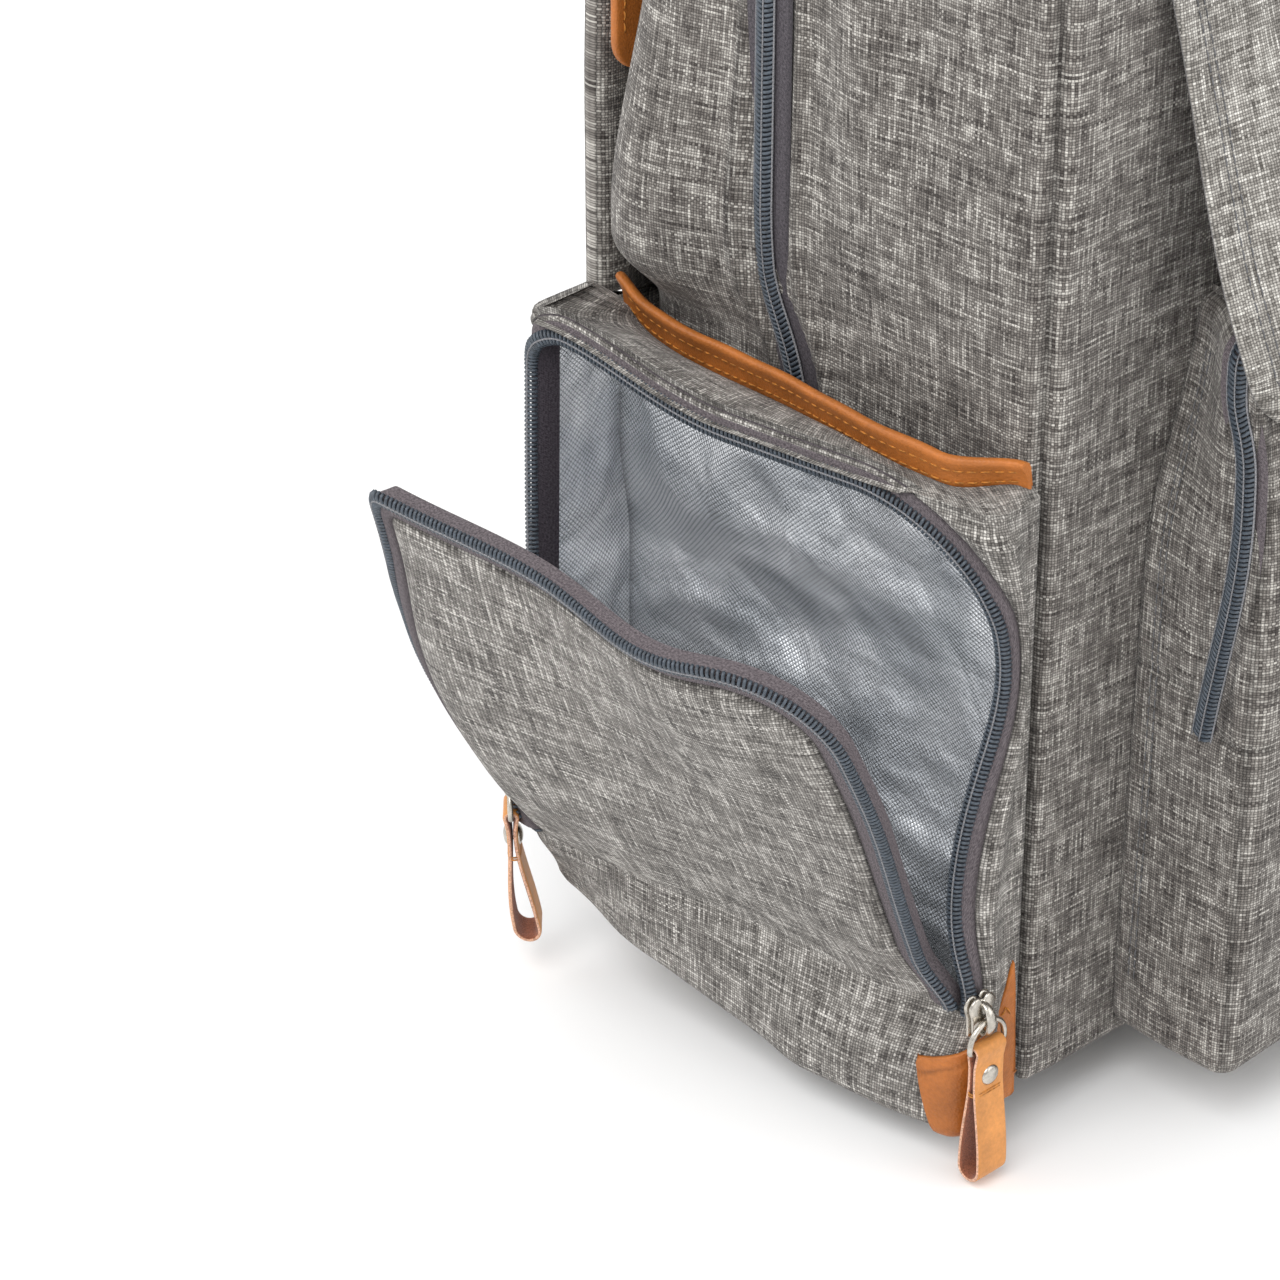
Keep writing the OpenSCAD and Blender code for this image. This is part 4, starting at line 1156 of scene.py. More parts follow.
def body_points():
    """Rings of body points from the bottom seam up and in over the top, with distances for the weave."""
    ring = body_ring()
    x, y, nx, ny = ring.T
    run = np.concatenate([[0], np.cumsum(np.hypot(np.diff(x), np.diff(y)))])
    side_share = np.abs(nx) ** 2
    top_r = FACE_TOP_R + (SIDE_TOP_R - FACE_TOP_R) * side_share
    wall_rows = spread(0, 1, 0.0068)
    turns = np.linspace(0, math.pi / 2, 16)[1:]
    rows, weaves = [], []
    height = TOP_Z - SEAM_Z
    foot = 5 * MM
    for f in np.linspace(math.pi / 2, 0.2, 5):
        inset = foot * (1 - math.cos(f))
        rows.append(stack(x - nx * inset, y - ny * inset, SEAM_Z + foot - foot * math.sin(f)))
        weaves.append(stack(run, foot * (1 - f)))
    for s in wall_rows:
        z = foot + s * (height - top_r - foot)
        rows.append(stack(x, y, SEAM_Z + z))
        weaves.append(stack(run, z))
    for turn in turns:
        inset = top_r * (1 - math.cos(turn))
        z = height - top_r * (1 - math.sin(turn))
        rows.append(stack(x - nx * inset, y - ny * inset, SEAM_Z + z))
        weaves.append(stack(run, height - top_r + top_r * turn))
    last = rows[-1]
    spine = stack(np.clip(last[:, 0], -0.045, 0.045), 0 * last[:, 1], last[:, 2])
    for s in np.linspace(0, 1, 22)[1:]:
        p = last + (spine - last) * s
        rows.append(p)
        weaves.append(p[:, :2] + 0.5)
    return np.array(rows), np.array(weaves), ring


def seam_distance(ring, sign):
    """Distance in plan from the upright seam at one of the front corners."""
    return np.hypot(ring[:, 0] - sign * (HALF_W - SEAM_INSET), ring[:, 1] + HALF_D - SEAM_INSET)


def body_relief(points, ring):
    """How far the body's cloth stands out: pillowed panels, soft folds, sunk seams and the zip's seat."""
    x, z = points[..., 0], points[..., 2]
    nx, ny = ring[:, 2], ring[:, 3]
    h = z - SEAM_Z
    free = ease(h, 196 * MM, 240 * MM)
    mid = np.clip(1 - (ring[:, 1] / (HALF_D - 8 * MM)) ** 2, 0, 1)
    out = 3.6 * MM * mid * np.abs(nx) ** 4 * free
    front = (ny < 0) * np.abs(ny) ** 4
    wide = np.clip(1 - (ring[:, 0] / (HALF_W - 6 * MM)) ** 2, 0, 1)
    out = out + front * 2.0 * MM * wide * (1 - ease(h, 0, 400 * MM) * 0.4)
    back = bell(np.hypot(np.abs(ring[:, 0]) - 134 * MM, ring[:, 1] - 68 * MM), 0, 32 * MM) * (ring[:, 1] > 0)
    hump = 16 * MM * back * np.abs(nx) * ease(h, 192 * MM, 215 * MM)
    out = out + hump * (1 - 0.7 * ease(h, 222 * MM, 300 * MM))
    folds = lumps(points, [40 * MM, 22 * MM, 95 * MM], 2) * 1.9 * MM
    folds = folds + lumps(points, [26 * MM, 15 * MM, 40 * MM], 12) * 0.7 * MM
    out = out + folds * (0.25 + 0.75 * np.abs(nx) * free + 0.3 * front)
    # corner seams at the front
    for sign in (-1, 1):
        d = seam_distance(ring, sign)
        out = out - 1.5 * MM * bell(d, 0, 1.3 * MM) + 0.8 * MM * bell(d, 4.2 * MM, 2.2 * MM)
    # cloth folds beside the side zip
    dy = ring[:, 1] - zip_line(z)
    ridge = bell(dy, -10.4 * MM, 2.2 * MM) + bell(dy, 8.6 * MM, 2.0 * MM)
    seat = bell(dy, -0.8 * MM, 7 * MM)
    out = out + np.abs(nx) ** 4 * (1.5 * MM * ridge - 1.0 * MM * seat * (np.abs(dy) < 9.5 * MM))
    return out * np.ones_like(x)


def zip_line(z):
    """Depth of the side zip's middle at height z: it drifts forwards behind the pocket's rim."""
    return ZIP_Y - 11 * MM * (1 - ease(np.asarray(z) - SEAM_Z, 182 * MM, 222 * MM))


def seam_shade(points, ring):
    """Painted shade: darker in the corner seams and in the folds beside the side zip."""
    tone = np.ones(points.shape[:2])
    for sign in (-1, 1):
        d = seam_distance(ring, sign)
        tone = tone * (1 - 0.45 * bell(d, 0, 1.1 * MM))
    dy = np.abs(ring[:, 1] - zip_line(points[..., 2]))
    fold = bell(dy, 9.4 * MM, 1.0 * MM) * (np.abs(ring[:, 2]) > 0.9)
    return tone * (1 - 0.5 * fold)


def cut_mesh(piece, planes):
    """Splits the body's mesh along planes given as (axis, place); the flat top's slivers all face up."""
    work = bmesh.new()
    work.from_mesh(piece.data)
    bmesh.ops.remove_doubles(work, verts=work.verts[:], dist=0.02 * MM)
    work.normal_update()
    for face in work.faces:
        if face.normal.z < 0 and face.calc_center_median().z > TOP_Z - 2 * MM:
            face.normal_flip()
    for axis, place in planes:
        normal = Vector((0, 0, 0))
        normal[axis] = 1
        bmesh.ops.bisect_plane(work, geom=work.verts[:] + work.edges[:] + work.faces[:], dist=1e-6,
                               plane_co=normal * place, plane_no=normal)
    work.to_mesh(piece.data)
    work.free()


def drop_faces(piece, inside):
    """Deletes the faces for whose middle inside is true."""
    work = bmesh.new()
    work.from_mesh(piece.data)
    gone = [f for f in work.faces if inside(f.calc_center_median())]
    bmesh.ops.delete(work, geom=gone, context="FACES")
    work.to_mesh(piece.data)
    work.free()


def thicken(piece, thickness, inner_slot):
    solid = piece.modifiers.new("thickness", "SOLIDIFY")
    solid.thickness = thickness
    solid.offset = -1
    solid.material_offset = inner_slot
    solid.material_offset_rim = 0


def make_body():
    """The body's cloth shell, with an opening where the top panel sits."""
    points, weave, ring = body_points()
    relief = body_relief(points, ring)
    flat_top = points[..., 2:] > TOP_Z - 0.05 * MM
    normal = np.where(flat_top, [0, 0, 1.0], grid_normals(points))
    level = np.clip((TOP_Z - points[..., 2]) / (40 * MM), 0, 1)
    moved = points + normal * (relief * (0.15 + 0.85 * level))[..., None]
    panel_cut = PANEL_LOW.z - 0.3 * MM
    front_cut, back_cut = PANEL_LOW.y - 0.6 * MM, PANEL_HIGH.y + 0.3 * MM

    def in_panel(c):
        return c.z > panel_cut and front_cut < c.y < back_cut

    shell = Shape()
    shell.grid(moved, weave=weave, shade=seam_shade(points, ring), wrap=True)
    piece = shell.make("body_cloth", [CLOTH, LINING], "cloth", "bag", ("body_shell",))
    cut_mesh(piece, [(2, panel_cut), (1, front_cut), (1, back_cut)])
    drop_faces(piece, in_panel)
    thicken(piece, 3.2 * MM, 1)
    make_top_panel(points, weave, normal)


def make_top_panel(points, weave, normal):
    """The part of the body's top that opens, cut from the same rings and slightly swollen."""
    panel_foot = PANEL_LOW.z + 0.3 * MM
    panel = Shape()
    crown = np.clip((points[..., 2] - PANEL_LOW.z) / (30 * MM), 0, 1)
    middle = (PANEL_LOW.y + PANEL_HIGH.y) / 2
    swell = 1.6 * MM * np.clip(1 - ((points[..., 1] - middle) / (52 * MM)) ** 2, 0, 1) * crown
    raised = points + normal * (swell + 0.8 * MM * lumps(points, 34 * MM, 7) * crown)[..., None]
    panel.grid(raised, weave=weave, wrap=True)
    piece = panel.make("top_panel_cloth", [CLOTH, LINING], "cloth", "top_panel", ("top_panel",))
    cut_mesh(piece, [(2, panel_foot), (1, PANEL_LOW.y), (1, PANEL_HIGH.y)])
    drop_faces(piece, lambda c: not (c.z > panel_foot and PANEL_LOW.y < c.y < PANEL_HIGH.y))
    thicken(piece, 3.0 * MM, 1)


def tape_shade(low, high):
    """Painted shade across a tape whose edges lie under the cloth, at low and high."""
    return lambda s: 1 - 0.45 * (bell(s, high, 1.2 * MM) + bell(s, low, 1.2 * MM))


def make_side_zip(side):
    """The closed zip up the body's side, sunk between two folds of cloth."""
    name = SIDE_NAME[side]
    shape = Shape()
    z = spread(SEAM_Z + 172 * MM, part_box(f"{name}_main_zip")[1].z, 3 * MM)
    free = ease(z - SEAM_Z, 196 * MM, 240 * MM)
    below_top = np.clip((TOP_Z - z) / (40 * MM), 0.15, 1)
    bulge = 3.6 * MM * (1 - (ZIP_Y / (HALF_D - 8 * MM)) ** 2) * free * below_top
    path = stack(HALF_W + bulge, zip_line(z), z)
    out = np.broadcast_to([1.0, 0, 0], path.shape)
    low, high = -9.8 * MM, 9.2 * MM
    ribbon(shape, path, out, low, high, 0, lift=0.1 * MM, rows=9, shade=tape_shade(low, high))
    closed_chain(shape, path + [0.25 * MM, 0, 0], out, 1, 2)
    shape.make(f"{name}_side_zip", [TAPE_SHUT, COIL, CORD], "zip_coil", "bag", (f"{name}_main_zip",), side)


def make_top_zip():
    """Chain and tape over the top, between the side zips' upper ends, and the tape on the top panel."""
    shape = Shape()
    a = np.linspace(math.pi, math.pi / 2, 24)
    r = SIDE_TOP_R
    left = stack(-HALF_W + r + r * np.cos(a), 0 * a, TOP_Z - r + r * np.sin(a))
    normal = stack(np.cos(a), 0 * a, np.sin(a))
    across = np.linspace(-HALF_W + r, HALF_W - r, 70)[1:-1]
    top = stack(across, 0 * across, TOP_Z)
    path = np.concatenate([left, top, (left * [-1, 1, 1])[::-1]])
    out = np.concatenate([normal, np.broadcast_to([0, 0, 1.0], top.shape), (normal * [-1, 1, 1])[::-1]])
    path = path + [0, ZIP_Y, 0]
    low, high = -8 * MM, 12 * MM
    ribbon(shape, path, out, low, high, 0, lift=0.5 * MM, rows=9, shade=tape_shade(low, high))
    closed_chain(shape, path + out * 0.9 * MM, out, 1, 2)
    shape.make("top_zip_chain", [TAPE, COIL, CORD], "zip_coil", "bag", ("top_zip",))
    strip = Shape()
    ribbon(strip, path + [0, -8.4 * MM, 0], out, 0.0, 10 * MM, 0, lift=0.7 * MM, rows=6, skirt=0.5 * MM)
    strip.make("top_panel_facing", [TAPE], "zip_tape", "top_panel", ("top_panel_tape",))


# ---------------------------------------------------------------- front pocket and lid


BRIM = 5 * MM


def gusset_y(z):
    """Depth of the front pocket's side zip at height z; it leans forwards as it rises."""
    lean = -HALF_D - 22 * MM - 6 * MM * (z - SEAM_Z - 111 * MM) / (102 * MM)
    lean = lean - 3.5 * MM * bell(z, SEAM_Z + 140 * MM, 60 * MM)
    below_roof = 1 - ease(z, SEAM_Z + 196 * MM, SEAM_Z + 220 * MM)
    return lean - 6 * MM * bell(z, SEAM_Z + 178 * MM, 42 * MM) * below_roof


def make_front_pocket():
    """The front pocket's cloth: face, gussets with a sunk zip and a cross seam, top and bottom."""
    low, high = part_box("front_pocket")
    half, front, back = high.x, low.y, high.y
    z0, z1 = low.z, high.z
    zip_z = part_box("left_gusset_zip")[0].z
    r, foot = 7 * MM, 6 * MM
    depth = np.linspace(back, front + r, 34)
    turn = np.linspace(0, math.pi / 2, 12)[1:]
    across = np.linspace(-half + r, half - r, 74)[1:-1]
    corner = stack(-half + r - r * np.cos(turn), front + r - r * np.sin(turn))
    left = np.concatenate([stack(-half, depth), corner])
    left_n = np.concatenate([stack(-1, 0 * depth), stack(-np.cos(turn), -np.sin(turn))])
    plan = np.concatenate([left, stack(across, front), (left * [-1, 1])[::-1]])
    normal = np.concatenate([left_n, stack(0 * across, -1), (left_n * [-1, 1])[::-1]])
    run = np.concatenate([[0], np.cumsum(np.linalg.norm(np.diff(plan, axis=0), axis=1))])
    px, py = plan[:, 0], plan[:, 1]
    sides, faces = np.abs(normal[:, 0]), np.abs(normal[:, 1])

    low_turn = np.linspace(-math.pi / 2, 0, 7)[:-1]
    top_turn = np.linspace(0, math.pi / 2, 8)[1:]
    walls = spread(z0 + foot, z1 - BRIM, 1.7 * MM)
    level = np.concatenate([
        z0 + foot + foot * np.sin(low_turn), walls, z1 - BRIM + BRIM * np.sin(top_turn),
    ])[:, None]
    inset = np.concatenate([foot * (1 - np.cos(low_turn)), 0 * walls, BRIM * (1 - np.cos(top_turn))])[:, None]
    frac = (level - z0) / (z1 - z0)
    above = ease(level, zip_z - 4 * MM, zip_z + 6 * MM)
    base = stack(px - normal[:, 0] * inset, py - normal[:, 1] * inset, level)

    belly = 3.5 * MM * np.clip(1 - (px / half) ** 4, 0, 1) + 2.2 * MM * bell(np.abs(px), half, 22 * MM)
    out = faces * (belly * np.sin(np.pi * np.clip(frac * 1.2, 0, 1)) - 7 * MM * ease(frac, 0.74, 1.0))
    d_zip = py - gusset_y(level)
    out = out - 2.2 * MM * sides * bell(d_zip, 0, 6.5 * MM) * above
    out = out - sides * ease(py, -108 * MM, -80 * MM) * (3 * MM * ease(level, 60 * MM, 190 * MM)
                                                         + 14 * MM * ease(level, 175 * MM, 246 * MM))
    seam_level = zip_z + 14 * MM - 11 * MM * ease(-py, 92 * MM, 112 * MM)
    cross = bell(level, seam_level, 1.1 * MM) * ease(np.abs(px), half - 10 * MM, half - 5 * MM)
    rear = bell(py, back + 0.4 * MM, 1.2 * MM) * sides
    out = out - 0.9 * MM * cross - 1.0 * MM * rear + 1.3 * MM * lumps(base, [30 * MM, 22 * MM, 60 * MM], 14)
    # Painted shade: darker in the cross seam, the rear seam, along the front corners and in the folds beside
    # the zip.
    edge = bell(np.abs(px), half - 2 * MM, 1.0 * MM) * bell(py, front + 2 * MM, 2 * MM)
    fold = bell(np.abs(d_zip), 6.4 * MM, 0.8 * MM) * above * sides
    tone = (1 - 0.4 * cross) * (1 - 0.45 * rear) * (1 - 0.35 * edge) * (1 - 0.45 * fold)
    points = base + stack(normal[:, 0] * out, normal[:, 1] * out, 0 * out)
    shape = Shape()
    shape.grid(points, weave=stack(run, level), shade=tone)
    for row, flip in ((0, False), (-1, True)):
        ring = points[row]
        reach = abs(ring[0, 0])
        core = stack(np.clip(ring[:, 0], -reach, reach), np.full(len(ring), back), ring[:, 2])
        s = np.linspace(0, 1, 10)[:, None, None]
        sheet = core + (ring - core) * s
        sheet[..., 2] += (2.0 * MM if flip else 0) * np.sin(np.pi * s[..., 0])
        shape.grid(sheet, weave=sheet[..., :2], flip=not flip)
    piece = shape.make("front_pocket_cloth", [CLOTH, LINING], "cloth", "bag", ("front_pocket",))
    stitch_gussets(points, normal, py, back, len(depth))
    for side in (LEFT, RIGHT):
        make_gusset_chain(side)


def stitch_gussets(points, normal, py, back, side_columns):
    """Two rows of stitches up both gussets, beside the seam to the body."""
    trim = Shape()
    count = len(py)
    for columns in (np.arange(side_columns), np.arange(count - side_columns, count)):
        for inside in (6 * MM, 8.4 * MM):
            column = columns[np.argmin(np.abs(py[columns] - (back - inside)))]
            path = points[14:-10, column] + stack(normal[column, 0], 0.0, 0.0) * 0.1 * MM
            stitches(trim, path, (normal[column, 0], 0, 0), 0, thick=0.2 * MM)
    trim.make("front_pocket_stitches", [THREAD_GREY], "zip_tape", "bag")


def make_gusset_chain(side):
    """The closed zip up a gusset and over the pocket's top to the middle."""
    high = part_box("front_pocket")[1]
    half, z1 = high.x, high.z
    name = SIDE_NAME[side]
    chain = Shape()
    z = spread(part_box("left_gusset_zip")[0].z, z1 - BRIM, 3 * MM)[:-1]
    x = half - 2.0 * MM - 1.5 * MM * ease(z, 175 * MM, 246 * MM)
    bend = np.linspace(0, math.pi / 2, 8)
    top_y = -HALF_D - 28 * MM
    side_y = top_y + (gusset_y(z) - top_y) * (1 - ease(z, z[-1] - 16 * MM, z[-1]))
    roof_x = np.linspace(x[-1] - BRIM, 0.8 * MM, 46)[1:]
    path = np.concatenate([
        stack(x, side_y, z),
        stack(x[-1] - BRIM + BRIM * np.cos(bend), top_y, z1 - BRIM + (BRIM + 0.9 * MM) * np.sin(bend)),
        stack(roof_x, top_y, z1 + 0.9 * MM + 1.5 * MM * ease(half - roof_x, 0, 20 * MM)),
    ])
    out = np.concatenate([
        stack(1.0, 0 * z, 0), stack(np.cos(bend), 0 * bend, np.sin(bend)), stack(0 * roof_x, 0, 1.0),
    ])
    ribbon(chain, path, out, -6.4 * MM, 6.4 * MM, 0, lift=-0.1 * MM, rows=7)
    closed_chain(chain, path + 0.4 * MM * out, out, 1, 2)
    chain.make(f"{name}_gusset_chain", [TAPE, COIL, CORD], "zip_coil", "bag",
               (f"{name}_gusset_zip",), side)


def make_lid():
    """The front lid: hangs down the body, slants over the pocket and drops in front of it."""
    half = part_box("front_lid")[1].x
    profile = np.array([[-79.5, 372.3], [-79.8, 352], [-81, 334], [-88, 313], [-98, 290], [-108, 268],
                        [-117, 250], [-122, 240], [-123.6, 230], [-124, 220.2]]) * MM
    length = np.concatenate([[0], np.cumsum(np.linalg.norm(np.diff(profile, axis=0), axis=1))])
    fine = np.linspace(0, length[-1], 160)
    curve = sample(fine, length, profile)
    kernel = bell(np.arange(-8, 9), 0, 4)
    kernel = kernel / kernel.sum()
    for k in (0, 1):
        curve[:, k] = np.convolve(np.pad(curve[:, k], 8, "reflect", reflect_type="odd"), kernel, "valid")
    direction = unit(np.gradient(curve, axis=0))
    corner = 22 * MM
    total = length[-1]

    def bounds(b):
        over = max(0.0, b - (total - corner))
        cut = corner - math.sqrt(max(corner ** 2 - over ** 2, 0))
        flare = 4.5 * MM * (1 - float(ease(b, 10 * MM, 70 * MM)))
        return -half + 0.5 * MM + cut - flare, half - 0.5 * MM - cut + flare

    def place(a, b, h):
        y, z = (np.interp(b, fine, curve[:, k]) for k in (0, 1))
        ahead_y, ahead_z = (np.interp(b, fine, direction[:, k]) for k in (0, 1))
        droop = 9.5 * MM * ease(np.abs(a), half - 30 * MM, half) * ease(b, 25 * MM, 125 * MM)
        ripple = 1.2 * MM * lumps(stack(a, 0 * a, b), [44 * MM, 1, 60 * MM], 21) * ease(b, 5 * MM, 30 * MM)
        lift = h - droop + ripple
        return stack(a, y + ahead_z * lift, z - ahead_y * lift)

    shape = Shape()
    pad(shape, place, 0, total, bounds, even(1.5 * MM), 2.2 * MM, 3 * MM, (0, 1))
    margin = 6.5 * MM
    b = spread(4 * MM, total - corner, 3 * MM)
    sides = [np.array([bounds(v)[k] for v in b]) for k in (0, 1)]
    arc = np.linspace(0, math.pi / 2, 14)
    for offset in (margin, margin + 2.4 * MM):
        inner = corner - offset
        left = np.concatenate([sides[0] + offset, -half + 0.5 * MM + corner - inner * np.cos(arc)])
        depth = np.concatenate([b, total - corner + inner * np.sin(arc)])
        right = -left[::-1]
        middle = np.linspace(left[-1], right[0], 60)[1:-1]
        a_all = np.concatenate([left, middle, right])
        b_all = np.concatenate([depth, np.full(len(middle), depth[-1]), depth[::-1]])
        path = place(a_all, b_all, 1.55 * MM)
        ahead = place(a_all, b_all, 2.55 * MM)
        stitches(shape, path, ahead - path, 2, thick=0.2 * MM)
    piece = shape.make("front_lid_cloth", [LIT_LID_CLOTH, LINING, THREAD_GREY], "lid_cloth", "front_lid",
                       ("front_lid",))


def make_lid_seam():
    """Tape along the lid's sewn top edge."""
    tape = Shape()
    low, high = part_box("lid_seam_tape")

    def flat(a, b, h):
        return stack(a, (low.y + high.y) / 2 - h, b)

    pad(tape, flat, low.z, high.z, lambda b: (low.x, high.x), even(0.75 * MM), 1.2 * MM, 4 * MM, fine=2 * MM)
    for z in (low.z + 2.2 * MM, high.z - 2.2 * MM):
        x = np.linspace(low.x + 3 * MM, high.x - 3 * MM, 60)
        stitches(tape, stack(x, low.y - 0.1 * MM, z), (0, -1, 0), 1)
    tape.make("lid_seam", [TAPE, THREAD_GREY], "zip_tape", "bag", ("lid_seam_tape",))


# ---------------------------------------------------------------- back, straps, base, handle


def make_back():
    """Back panel with sewn channels."""
    low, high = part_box("back_panel")
    shape = Shape()
    half_y = (high.y - low.y) / 2
    r = 30 * MM

    def bounds(b):
        over = max(0.0, r - (b - low.z), r - (high.z - b))
        cut = r - math.sqrt(max(r * r - over * over, 0))
        return low.x + cut, high.x - cut

    def half(a, b):
        crossing = sum(bell(b, low.z + (high.z - low.z) * k, 4 * MM) for k in (0.34, 0.67))
        channel = bell(a, 0, 5 * MM) + crossing
        return half_y * (1 - 0.45 * np.clip(channel, 0, 1))

    pad(shape, upright(low, high), low.z, high.z, bounds, half, 9 * MM, 3 * MM)
    piece = shape.make("back_panel_cloth", [CLOTH], "cloth", "bag", ("back_panel",))


def make_yoke():
    """Padded yoke that both straps hang from."""
    low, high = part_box("strap_yoke")
    yoke = Shape()

    def slope(b):
        s = (b - low.z) / (high.z - low.z)
        w = 96 * MM - 16 * MM * s
        return -w, w

    pad(yoke, upright(low, high), low.z, high.z, slope, even((high.y - low.y) / 2),
        3 * MM, 4 * MM, fine=2 * MM)
    x = np.linspace(-78 * MM, 78 * MM, 50)
    stitches(yoke, stack(x, high.y - 0.2 * MM, low.z + 4 * MM), (0, 1, 0), 1)
    piece = yoke.make("strap_yoke_cloth", [CLOTH, THREAD_GREY], "cloth", "bag", ("strap_yoke",))


def strap_middle(t):
    """Middle line of the right shoulder strap: the same curve as in the CAD."""
    low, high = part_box("right_strap")
    top, end = high.z, low.z
    x_top, x_low = 62 * MM, 98 * MM
    t = np.asarray(t, float)
    y = HALF_D + 8.2 * MM + 5.8 * MM + 6.5 * MM * np.sin(np.radians(np.minimum(90, 300 * t)))
    x = x_top + (x_low - x_top) * (1 - np.cos(np.radians(np.minimum(180, 450 * t)))) / 2
    return x, y, top + (end - top) * t


def make_strap(side):
    """Padded shoulder strap with a stitched line near each edge."""
    name = SIDE_NAME[side]
    shape = Shape()
    width = 76 * MM

    def place(a, b, h):
        x, y, z = strap_middle(b / 0.216)
        return stack(x + a, y + h + 0.5 * MM * lumps(stack(a, b, 0 * a), 30 * MM, 3), z)

    pad(shape, place, 0, 0.216, lambda b: (-width / 2, width / 2),
        lambda a, b: 5.4 * MM * (1 - 0.14 * bell(np.abs(a), 22 * MM, 3 * MM)), 6 * MM, 2.6 * MM)
    for sign in (-1, 1):
        b = np.linspace(0.01, 0.208, 60)
        a = np.full(60, sign * 22 * MM)
        stitches(shape, place(a, b, 4.75 * MM), (0, 1, 0), 1)
    piece = shape.make(f"{name}_strap_pad", [CLOTH, THREAD_GREY], "cloth", "bag", (f"{name}_strap",), side)


def make_side_tab(side):
    """Leather tab with a round lower end, hanging beside the strap."""
    name = SIDE_NAME[side]
    low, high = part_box(f"{name}_side_tab")
    tab = Shape()
    x0, x1 = sorted((abs(low.x), abs(high.x)))
    centre, half = (x0 + x1) / 2, (x1 - x0) / 2

    def bounds(b):
        over = max(0.0, half - (b - low.z))
        w = math.sqrt(max(half ** 2 - over ** 2, 0))
        return centre - w, centre + w

    pad(tab, upright(low, high), low.z, high.z, bounds, even(1.4 * MM), 1.0 * MM, 2 * MM)
    for sign in (-1, 1):
        z = spread(low.z + 12 * MM, high.z - 2 * MM, 4 * MM)
        for y, n in ((low.y, -1), (high.y, 1)):
            stitches(tab, stack(centre + sign * 7 * MM, y + 0 * z, z), (0, n, 0), 1)
    tab.make(f"{name}_side_tab_leather", [LEATHER, THREAD_OCHRE], "leather", "bag",
             (f"{name}_side_tab",), side)


def make_webbing():
    """Strap webbings and the cloth anchors they are sewn into."""
    low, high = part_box("strap_webbings")
    webbing, anchor = Shape(), Shape()
    a_low, a_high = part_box("strap_anchors")
    for side in (LEFT, RIGHT):
        z = spread(low.z, high.z, 3 * MM)
        y = low.y + 1 * MM + (z - low.z) / (high.z - low.z) * (high.y - low.y - 2 * MM)
        path = stack(side * 98 * MM, y, z)
        points = path[:, None] + np.linspace(-12.5, 12.5, 9)[None, :, None] * MM * np.array([1, 0, 0])
        for shift, flip in ((-0.9 * MM, False), (0.9 * MM, True)):
            webbing.grid(points + [0, shift, 0], flip=flip, skirt=0.9 * MM)

        def slope(b, side=side):
            s = (b - a_low.z) / (a_high.z - a_low.z)
            return sorted((side * (60 + 24 * s) * MM, side * (122 - 10 * s) * MM))

        pad(anchor, upright(a_low, a_high), a_low.z, a_high.z, slope, even((a_high.y - a_low.y) / 2),
            3 * MM, 3 * MM, fine=2 * MM)
    webbing.make("strap_webbing", [WEBBING], "zip_tape", "bag", ("strap_webbings",))
    piece = anchor.make("strap_anchor_cloth", [CLOTH], "cloth", "bag", ("strap_anchors",))


def make_base():
    """Crowned pad under the body, and the walls' turned-in bottom."""
    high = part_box("base_pad")[1]
    shape = Shape()
    a = np.linspace(0, 2 * math.pi, 160, endpoint=False)

    def outline(w, d, n=7.0):
        c, s = np.cos(a), np.sin(a)
        r = (np.abs(c) ** n + np.abs(s) ** n) ** (-1 / n)
        return w * r * c, d * r * s

    rows = []
    for s in np.linspace(0, 1, 9):
        turn = s * math.pi / 2
        x, y = outline(high.x - 24 * MM * (1 - math.cos(turn)), high.y - 22 * MM * (1 - math.cos(turn)))
        rows.append(stack(x, y, high.z * (1 - math.sin(turn))))
    for s in np.linspace(0, 1, 12)[1:]:
        rows.append(rows[8] * [1 - s, 1 - s, 1])
    points = np.array(rows)
    points[:8, :, 2] += 0.4 * MM * lumps(points[:8], 20 * MM, 5) * np.sin(np.linspace(0, np.pi, 8))[:, None]
    shape.grid(points, weave=points[..., :2], wrap=True, flip=True)
    piece = shape.make("base_cloth", [CLOTH], "cloth", "bag", ("base_pad",))


def make_handle():
    """Round rolled handle with a seam along its underside."""
    pivot = np.array(joints["carry_handle_hinge"]["pos_m"])
    half = 52 * MM
    bend, rise = 22 * MM, 14 * MM
    a = np.linspace(0, math.pi / 2, 12)
    left = np.concatenate([
        stack(-half, 0.0, np.linspace(0, rise, 5)[:-1]),
        stack(-half + bend - bend * np.cos(a), 0 * a, rise + bend * np.sin(a)),
    ])
    across = np.linspace(-half + bend, half - bend, 22)[1:-1]
    path = np.concatenate([left, stack(across, 0.0, rise + bend), (left * [-1, 1, 1])[::-1]]) + pivot
    shape = Shape()
    wobble = 5.9 * MM + 0.12 * MM * np.sin(np.arange(len(path)) * 1.7)
    shape.tube(path, wobble, 24, 0, across=(0, 1, 0))
    inward = unit(pivot + [0, 0, rise] - path + [1e-6, 0, 0])
    seam = path[3:-3] + inward[3:-3] * 5.9 * MM
    stitches(shape, seam, inward[3:-3], 1)
    for sign in (-1, 1):
        eye = stack(sign * half + np.linspace(-6.6, 6.6, 8) * MM, 0.0, 0.0) + pivot
        shape.tube(eye, 5.0 * MM, 24, 0)
    shape.make("carry_handle_leather", [LEATHER, THREAD_OCHRE], "leather", "carry_handle", ("carry_handle",))


# ---------------------------------------------------------------- sliders and pulls


def seat(pull_joint):
    """Pivot and axis of a pull's joint."""
    joint = joints[pull_joint]
    return np.array(joint["pos_m"]), np.array(joint["axis"], float)


